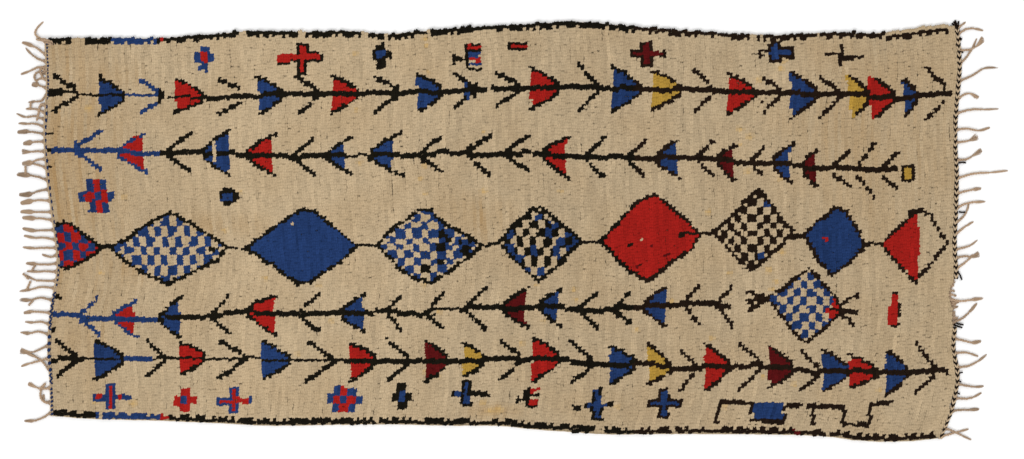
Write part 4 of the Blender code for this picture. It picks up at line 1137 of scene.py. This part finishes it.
def yarn_tree(name, plies, sides):
    """Turns paths into yarn of so many plies twisted round each other. along is the distance that sets the
    twist, way its direction and thick the yarn's size at each point. The first ply may differ in colour."""
    tree, given, result = new_tree(name, (
        ("Turn", "Float", 0.012), ("Spread", "Float", 0.0012), ("Ply", "Float", 0.0012),
        ("Step", "Float", 0.002), ("First", "Material", None), ("Other", "Material", None),
    ))
    along, way, thick, ply_number = (
        add_node(tree, "GeometryNodeInputNamedAttribute", {"Name": label}, data_type="FLOAT")
        for label in ("along", "way", "thick", "ply"))
    line = add_node(tree, "GeometryNodeMeshToCurve", {"Mesh": given["Geometry"]})
    line = add_node(tree, "GeometryNodeResampleCurve", {
        "Curve": line, "Length": given["Step"]}, mode="LENGTH")
    ring = add_node(tree, "GeometryNodeCurvePrimitiveCircle", {"Resolution": sides, "Radius": given["Ply"]})
    ahead = add_node(tree, "GeometryNodeInputTangent")
    side = add_node(tree, "ShaderNodeVectorMath", {0: ahead, 1: (0, 0, 1)}, operation="CROSS_PRODUCT")
    turns = add_node(tree, "ShaderNodeMath", {0: along, 1: given["Turn"]}, operation="DIVIDE")
    turned = add_node(tree, "ShaderNodeMath", {0: turns, 1: way}, operation="MULTIPLY")
    spread = add_node(tree, "ShaderNodeMath", {0: given["Spread"], 1: thick}, operation="MULTIPLY")
    joined = add_node(tree, "GeometryNodeJoinGeometry")
    for ply in range(plies):
        angle = add_node(tree, "ShaderNodeMath", {0: turned, 1: math.tau, 2: math.tau * ply / plies},
                         operation="MULTIPLY_ADD")
        reach = []
        for wave, direction in (("SINE", side), ("COSINE", (0, 0, 1))):
            share = add_node(tree, "ShaderNodeMath", {0: angle}, operation=wave)
            share = add_node(tree, "ShaderNodeMath", {0: share, 1: spread}, operation="MULTIPLY")
            reach.append(add_node(tree, "ShaderNodeVectorMath", {0: direction, "Scale": share},
                                  operation="SCALE"))
        moved = line
        if plies > 1:
            offset = add_node(tree, "ShaderNodeVectorMath", {0: reach[0], 1: reach[1]})
            moved = add_node(tree, "GeometryNodeSetPosition", {"Geometry": line, "Offset": offset})
        tube = add_node(tree, "GeometryNodeCurveToMesh", {
            "Curve": moved, "Profile Curve": ring, "Scale": thick, "Fill Caps": True})
        marked = add_node(tree, "GeometryNodeStoreNamedAttribute", {
            "Geometry": tube, "Name": "ply", "Value": float(ply)}, data_type="FLOAT", domain="POINT")
        tree.links.new(marked, joined.node.inputs[0])
    real = add_node(tree, "GeometryNodeRealizeInstances", {"Geometry": joined})
    first = add_node(tree, "GeometryNodeSetMaterial", {"Geometry": real, "Material": given["First"]})
    later = add_node(tree, "FunctionNodeCompare", {0: ply_number, 1: 0.5}, operation="GREATER_THAN")
    last = add_node(tree, "GeometryNodeSetMaterial", {
        "Geometry": first, "Selection": later, "Material": given["Other"]})
    tree.links.new(last, result)
    return tree


class Paths:
    """Yarn paths in cm, each with its twist's direction and its thickness along it."""

    def __init__(self):
        self.points, self.edges = [], []
        self.attributes = {"along": [], "way": [], "thick": [], "tone": []}

    def add(self, points, thick, along=None, way=1.0, tone=0.5):
        first = len(self.points)
        run = 0.0
        for i, point in enumerate(points):
            if i:
                run += math.dist(points[i - 1], point)
                self.edges.append((first + i - 1, first + i))
            self.points.append(tuple(c * CM for c in point))
            self.attributes["along"].append((along(point) if along else run) * CM)
            self.attributes["way"].append(way)
            self.attributes["thick"].append(thick(i / (len(points) - 1)) if callable(thick) else thick)
            self.attributes["tone"].append(tone)

    def build(self, name, tree, values):
        obj = add_mesh_object(name, self.points, self.edges, attributes=self.attributes)
        grow(obj, tree, values)
        return obj


def strand_line(strand, outward):
    """A strand's path from its root, as a function of the share of its length that gives (x, y) offsets."""
    _, reach, drift, near, far, _ = strand
    length = math.hypot(reach, drift)
    side = (-drift / length, reach / length)
    bows = (0.0, near, far, 0.0)
    out, up = [], []
    for i, bow in enumerate(bows):
        share = i / (len(bows) - 1)
        out.append((share, reach * share + side[0] * bow))
        up.append((share, drift * share + side[1] * bow))
    out_at, up_at = smooth(out), smooth(up)
    return lambda share: (outward * out_at(share), up_at(share))


def tassel(line, root, share_from, ending, chance, hairs, tone):
    """The loosened end of a strand: fibres that swell out of its knot and close again, or fan out."""
    count, width, swell, _ = ENDINGS[ending]
    width *= chance.uniform(0.7, 1.1)
    for i in range(count):
        across = width * (2 * (i + chance.uniform(0.2, 0.8)) / count - 1)
        lift = chance.uniform(0.0, 0.42) * math.sqrt(max(0.0, 1 - (across / width) ** 2))
        stop = chance.uniform(0.9, 1.12)
        points = []
        for k in range(7):
            t = k / 6
            share = share_from + (stop - share_from) * t
            x, y = line(share)
            ahead = np.subtract(line(min(share + 0.02, 1.06)), line(share - 0.02))
            ahead = ahead / max(np.hypot(*ahead), 1e-6)
            out = across * min(1.0, t / swell) * (1.0 if ending == "brush" else (1.35 - t) ** 0.6)
            points.append((root[0] + x - ahead[1] * out, root[1] + y + ahead[0] * out,
                           0.19 + lift * min(1.0, t / 0.15) * (1 - 0.8 * t)))
        shade = float(np.clip(tone + chance.normal(0, 0.12), 0, 1))
        hairs.add(points, lambda s: 1.0 - 0.55 * s, tone=shade)


def overhand(middle, ahead, size):
    """The path of a small overhand knot round a place in plan, along a direction."""
    points = []
    for i in range(19):
        t = math.tau * i / 18
        a = (math.sin(t) + 2 * math.sin(2 * t)) * size * 0.8
        b = (math.cos(t) - 2 * math.cos(2 * t)) * size * 0.8
        points.append((middle[0] + a * ahead[0] - b * ahead[1], middle[1] + a * ahead[1] + b * ahead[0],
                       0.48 - math.sin(3 * t) * size))
    return points


def fringe(strands, outward, edge, depth, chance, plied, hairs):
    """Adds strands of plied warp to the paths, each gathered at a depth out from the edge, and knotted or
    frayed at its tip."""
    for strand in strands:
        root_y, reach, drift, _, _, ending = strand
        line = strand_line(strand, outward)
        root = (edge(root_y) + outward * depth, root_y)
        length = math.hypot(reach, drift)
        count = max(8, int(length * 1.4))
        tone = float(np.clip(chance.normal(0.5, 0.25), 0, 1))
        stop = ENDINGS[ending][3]
        points = []
        for i in range(count + 1):
            x, y = line(stop * i / count)
            points.append((root[0] + x, root[1] + y + chance.normal(0, 0.045) * min(1, i / 3),
                           mix(0.5, 0.42, i / count)))
        plied.add(points, lambda s: 1.15 - 0.2 * s, way=1 if chance.random() < 0.7 else -1, tone=tone)
        gather = line(min(0.9, 1.4 / length))
        for way in (-1, 1):
            start = (root[0] - 0.3 * outward, root[1] + 0.85 * way, 0.3)
            bend = (root[0] + 0.35 * gather[0], root[1] + 0.4 * way + 0.35 * gather[1], 0.3)
            hairs.add([start, bend, (root[0] + gather[0], root[1] + gather[1], 0.3)], 1.4, tone=tone)
        if ending in ("knot", "tuft"):
            x, y = line(stop)
            ahead = np.subtract(line(stop + 0.03), line(stop - 0.03))
            plied.add(overhand((root[0] + x, root[1] + y), ahead / np.hypot(*ahead), 0.13), 0.8, tone=tone)
        tassel(line, root, stop - 0.03, ending, chance, hairs, tone)


def frayed_weave(edge, hairs):
    """Loose warps and wefts that stand out of the worn gap, the middle ones leaning together into a lock."""
    chance = np.random.default_rng(SEED_FRAY)
    for _ in range(150):
        y = chance.uniform(-31.4, -16.6)
        reach = straight(FRAYED_REACH, y) * chance.uniform(0.6, 1.15)
        if -27 < y < -20.5:
            pull = mix(FRAYED_LOCK, y, 0.25)
        else:
            pull = y + chance.normal(0, 0.5)
        start = (edge(y) - 0.6, y, 0.3)
        middle = (edge(y) + reach * 0.5, mix(y, pull, 0.4) + chance.normal(0, 0.12),
                  chance.uniform(0.15, 0.45))
        tip = (edge(y) + reach, mix(y, pull, 0.9) + chance.normal(0, 0.15), chance.uniform(0.18, 0.4))
        hairs.add([start, middle, tip], chance.uniform(0.5, 1.0), tone=chance.uniform(0.3, 0.9))


def loose_yarn(points, height):
    """A yarn's path over or between strands, with a long low hump where it crosses one."""
    last = len(points) - 1
    top = max(height, 0.5)
    return [(x, y, mix(0.48, top, math.sin(math.pi * i / last))) for i, (x, y) in enumerate(points)]


def cord_path(edge, outward, depth, span, z, step=0.5):
    count = max(2, round((span[1] - span[0]) / step))
    places = [mix(span[0], span[1], i / count) for i in range(count + 1)]
    return [(edge(y) + outward * depth, y, z) for y in places]


def ground_sheet(sizes):
    """The woven ground as a closed sheet, two wrapped ribs its lower selvedge and one its upper."""
    thick = sizes.foundation / CM
    lower_ribs = (
        (0.0, 0.2), (0.12, 0.44), (0.3, 0.5), (0.48, 0.42), (0.56, 0.34), (0.66, 0.44), (0.84, 0.5),
        (1.02, 0.4), (1.15, thick),
    )
    upper_rib = ((0.0, 0.2), (0.1, 0.42), (0.26, 0.48), (0.42, 0.4), (0.52, thick))
    columns = [(w, z, 0) for w, z in lower_ribs]
    columns += [(None, thick, i / 16) for i in range(1, 16)]
    columns += [(w, z, 1) for w, z in reversed(upper_rib)]
    count = 220
    chance = np.random.default_rng(SEED_ROWS)
    ripple = chance.normal(0, 0.045, (count + 1, len(columns)))
    tops, bottoms, faces = [], [], []
    for i in range(count + 1):
        u = i / count
        width = field_point(u, 1)[1] - field_point(u, 0)[1]
        for j, (inset, z, v) in enumerate(columns):
            at = v if inset is None else (inset / width if v == 0 else 1 - inset / width)
            x, y = field_point(u, at)
            uneven = ripple[i, j] if inset is not None else 0.0
            wrap = 0.05 * math.sin(i * 2.6) if inset is not None and 0 < inset < 1.1 else 0.0
            tops.append((x * CM, (y + uneven) * CM, (z + wrap + abs(uneven) * 0.3) * CM))
            bottoms.append((x * CM, (y + uneven) * CM, 0.0))
    width = len(columns)
    total = len(tops)
    for i in range(count):
        for j in range(width - 1):
            a, b = i * width + j, (i + 1) * width + j
            faces.append((a, b, b + 1, a + 1))
            faces.append((total + a, total + a + 1, total + b + 1, total + b))
    rim = [i * width for i in range(count)] + [count * width + j for j in range(width - 1)]
    rim += [i * width + width - 1 for i in range(count, 0, -1)] + list(range(width - 1, 0, -1))
    for a, b in zip(rim, rim[1:] + rim[:1]):
        faces.append((b, a, total + a, total + b))
    return tops + bottoms, faces


class RUG_OT_stage(bpy.types.Operator):
    """Lay the floor, light it softly and look straight down, as the photograph does"""
    bl_idname = "rug.stage"
    bl_label = "Stage"

    def execute(self, context):
        scene = context.scene
        corners = box(-FLOOR_HALF, FLOOR_HALF, -FLOOR_HALF, FLOOR_HALF)
        floor = add_mesh_object("floor", [(x, y, -FLOOR_GAP) for x, y in corners], faces=[(0, 1, 2, 3)])
        # White studio paper, quite matt
        paper, _, _ = new_material("white_paper_floor", {
            "Base Color": (*linear("#F7F7F7"), 1), "Roughness": 1.0, "Specular IOR Level": 0.0})
        floor.data.materials.append(paper)
        world = bpy.data.worlds.new("soft_room")
        world.use_nodes = True
        sky = world.node_tree.nodes["Background"].inputs
        sky["Color"].default_value = (1.0, 1.0, 1.0, 1)
        sky["Strength"].default_value = 0.82
        scene.world = world
        for name, strength, spread, turn in (
                ("window", 1.15, 0.5, (0.62, -0.42, 0.0)), ("far_window", 0.35, 0.8, (-0.7, 0.5, 0.0))):
            light = bpy.data.lights.new(name, "SUN")
            light.energy = strength
            light.angle = spread
            lamp = bpy.data.objects.new(name, light)
            lamp.rotation_euler = turn
            scene.collection.objects.link(lamp)
        camera = bpy.data.cameras.new("overhead_camera")
        camera.sensor_width = 36.0
        camera.sensor_fit = "HORIZONTAL"
        camera.lens = camera.sensor_width * CAMERA_HEIGHT / VIEW_WIDTH
        camera.clip_end = 30.0
        eye = bpy.data.objects.new("overhead_camera", camera)
        eye.location = (*VIEW_MIDDLE, CAMERA_HEIGHT + PILE_TOP)
        scene.collection.objects.link(eye)
        scene.camera = eye
        scene.view_settings.view_transform = "Standard"
        return {"FINISHED"}


class RUG_OT_ground(bpy.types.Operator):
    """Weave the ground sheet with its selvedges"""
    bl_idname = "rug.ground"
    bl_label = "Woven ground"

    def execute(self, context):
        scene = context.scene
        points, faces = ground_sheet(scene.rug_sizes)
        ground = add_mesh_object("woven_ground", points, faces=faces)
        ground.data.shade_smooth()
        ground.data.materials.append(woven_ground(scene.rug_colours))
        belong(ground, "pile_wool", "knotted_field")
        return {"FINISHED"}


class RUG_OT_pile(bpy.types.Operator):
    """Knot the pile from the chart, one piece for each yarn, the ground's in several lengths"""
    bl_idname = "rug.pile"
    bl_label = "Knotted pile"

    def execute(self, context):
        scene = context.scene
        sizes, colours = scene.rug_sizes, scene.rug_colours
        laid_out, knots, row, count = knot_places(sizes)
        yarns = charted(laid_out, count, count.max())
        tone, dirt, stain, height = knot_looks(knots, row)
        away = crease_distance(*knots.T)
        knots[:, 0] += np.where(np.abs(away) < 1.4, np.sign(away) * 0.22 * (1 - np.abs(away) / 1.4), 0)
        tufts = bpy.data.collections.new("tufts")
        scene.collection.children.link(tufts)
        chance = np.random.default_rng(SEED_KNOTS)
        for i in range(TUFT_KINDS):
            tufts.objects.link(tuft_mesh(f"tuft_{i}", chance))
        tree = pile_tree()
        thick = sizes.foundation / CM
        for name, yarn, low, high, sheen, pieces in PILE_YARNS:
            worn = wear_of_ground(colours) if yarn == CREAM else None
            material = wool(f"{name}_pile_wool", getattr(colours, name), low, high, 0.0012, sheen, pile=True,
                            worn=worn)
            chosen = np.flatnonzero(yarns == yarn)
            for part, some in enumerate(np.array_split(chosen, pieces)):
                label = f"{name}_pile_{part + 1}" if pieces > 1 else f"{name}_pile"
                places = [(x * CM, y * CM, (thick - 0.05) * CM) for x, y in knots[some]]
                piece = add_mesh_object(label, places, attributes={
                    "tone": tone[some], "dirt": dirt[some], "stain": stain[some],
                    "tall": (height[some] - thick + 0.05) * CM / 0.97})
                grow(piece, tree, {
                    "Tufts": tufts, "Yarn": material, "Lean": sizes.lean, "Slant": sizes.slant})
                belong(piece, "pile_wool", "knotted_field")
        for tuft in list(tufts.objects):
            bpy.data.objects.remove(tuft)
        bpy.data.collections.remove(tufts)
        return {"FINISHED"}


class RUG_OT_twining(bpy.types.Operator):
    """Twine the cords across both ends: single dashes, a zigzag and chains of two yarns"""
    bl_idname = "rug.twining"
    bl_label = "Twined ends"

    def execute(self, context):
        scene = context.scene
        sizes, colours = scene.rug_sizes, scene.rug_colours
        undyed = wool("undyed_twining_wool", colours.twining, 0.85, 1.1, 0.001, 0.12)
        indigo = wool("indigo_twining_wool", colours.indigo, 0.5, 0.8, 0.001, 0.05)
        dark = wool("browned_black_twining_wool", colours.brown, 0.4, 0.8, 0.001, 0.03)
        tree = yarn_tree("twining", 2, 6)

        def twined(name, outward, span, node, rows, turn, first, ply, spread):
            edge, paths = edge_x(outward), Paths()
            for depth, way, shift in rows:
                points = cord_path(edge, outward, depth, span, (spread + ply) / CM)
                paths.add(points, lambda s: 0.97 + 0.06 * math.sin(s * 61),
                          along=lambda p: p[1] + shift * turn / CM, way=way)
            piece = paths.build(name, tree, {
                "Turn": turn, "Spread": spread, "Ply": ply, "Step": turn / 8, "First": first,
                "Other": undyed})
            belong(piece, "cord_wool", node)

        twined("left_twining", -1, LEFT_CORD, "left_end_cord", ((0.5, 1, 0), (1.15, -1, 0.5)),
               sizes.dash_turn, undyed, 0.0021, 0.0014)
        left, dashes = edge_x(-1), Paths()
        for start, stop, pitch, length, leans, ply, out in DASHES:
            for k in range(int((stop - start) / pitch)):
                for i, lean in enumerate(leans):
                    y = start + (k + 0.5 * (1 + i)) * pitch
                    arc = [(left(y) - out - lean * s, y + s * length / 2, mix(0.62, 0.9 * ply, s * s))
                           for s in (-1, -0.6, -0.2, 0.2, 0.6, 1)]
                    dashes.add(arc, lambda s: ply * (0.8 + 0.3 * math.sin(math.pi * s)))
        indigo_rows = dashes.build("left_indigo_twining", yarn_tree("dashes", 1, 6), {
            "Ply": 0.01, "Step": 0.0015, "First": indigo, "Other": indigo})
        belong(indigo_rows, "cord_wool", "left_end_cord")
        chain = (((0.55, -1, 0), (1.3, 1, 0)), sizes.chain_turn, dark, 0.0029, 0.0016)
        twined("right_upper_twining", 1, UPPER_CORD, "right_end_cord_upper", *chain)
        twined("right_lower_twining", 1, LOWER_CORD, "right_end_cord_lower", *chain)
        return {"FINISHED"}


class RUG_OT_fringe(bpy.types.Operator):
    """Ply the warp ends into fringe at both ends, and fray the gap at the right"""
    bl_idname = "rug.fringe"
    bl_label = "Fringe"

    def execute(self, context):
        scene = context.scene
        sizes, colours = scene.rug_sizes, scene.rug_colours
        chance = np.random.default_rng(SEED_FRINGE)
        warp = wool("plied_warp_wool", colours.warp, 0.8, 1.15, 0.001, 0.1)
        plied_tree, hair_tree = yarn_tree("plied_warp", 2, 4), yarn_tree("warp_hairs", 1, 3)
        ends = (
            ("left", LEFT_STRANDS, -1, CORD_ROOTS, "cord_wool", "left_end_cord"),
            ("right_upper", RIGHT_UPPER_STRANDS, 1, CORD_ROOTS, "cord_wool", "right_end_cord_upper"),
            ("right_lower", RIGHT_LOWER_STRANDS, 1, CORD_ROOTS, "cord_wool", "right_end_cord_lower"),
            ("frayed", FRAYED_STRANDS, 1, FRAYED_ROOTS, "bare_warp", "right_end_frayed"),
        )
        for name, strands, outward, depth, slot, node in ends:
            edge, plied, hairs = edge_x(outward), Paths(), Paths()
            if name == "frayed":
                frayed_weave(edge, hairs)
            fringe(strands, outward, edge, depth, chance, plied, hairs)
            if name == "left":
                for points, height in LINKS:
                    plied.add(loose_yarn(points, height), 1.1, tone=chance.uniform(0.2, 0.8))
            values = {"Turn": 0.017, "Spread": sizes.warp * 0.85, "Ply": sizes.warp, "Step": 0.0024,
                      "First": warp, "Other": warp}
            belong(plied.build(f"{name}_fringe", plied_tree, values), slot, node)
            values = {"Ply": sizes.fibre, "Step": 0.0035, "First": warp, "Other": warp}
            belong(hairs.build(f"{name}_warp_hairs", hair_tree, values), slot, node)
        dark = Paths()
        for points in DARK_ENDS:
            dark.add(loose_yarn(points, 0.5), 1.0)
        yarn = wool("dark_yarn_ends_wool", colours.brown, 0.4, 0.8, 0.001, 0.0)
        values = {"Turn": 0.01, "Spread": 0.0014, "Ply": 0.002, "Step": 0.002, "First": yarn, "Other": yarn}
        ends = dark.build("dark_yarn_ends_twining", plied_tree, values)
        belong(ends, "cord_wool", "right_end_cord_upper", "right_end_cord_lower")
        return {"FINISHED"}


class RUG_PT_panel(bpy.types.Panel):
    """The rug's parts, in the order in which they are made"""
    bl_idname = "RUG_PT_panel"
    bl_label = "Village rug"
    bl_space_type = "VIEW_3D"
    bl_region_type = "UI"
    bl_category = "Rug"

    def draw(self, context):
        for operator in OPERATORS:
            self.layout.operator(operator.bl_idname)
        for group in (context.scene.rug_sizes, context.scene.rug_colours):
            column = self.layout.column()
            for name in group.__annotations__:
                column.prop(group, name)


OPERATORS = (RUG_OT_stage, RUG_OT_ground, RUG_OT_pile, RUG_OT_twining, RUG_OT_fringe)
CLASSES = (RugSizes, RugColours, *OPERATORS, RUG_PT_panel)


def register():
    for made in CLASSES:
        bpy.utils.register_class(made)
    bpy.types.Scene.rug_sizes = bpy.props.PointerProperty(type=RugSizes)
    bpy.types.Scene.rug_colours = bpy.props.PointerProperty(type=RugColours)


def unregister():
    del bpy.types.Scene.rug_sizes, bpy.types.Scene.rug_colours
    for made in reversed(CLASSES):
        bpy.utils.unregister_class(made)


def main():
    register()
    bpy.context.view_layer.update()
    bpy.ops.rug.stage()
    bpy.ops.rug.ground()
    bpy.ops.rug.pile()
    bpy.ops.rug.twining()
    bpy.ops.rug.fringe()


if __name__ == "__main__":
    main()
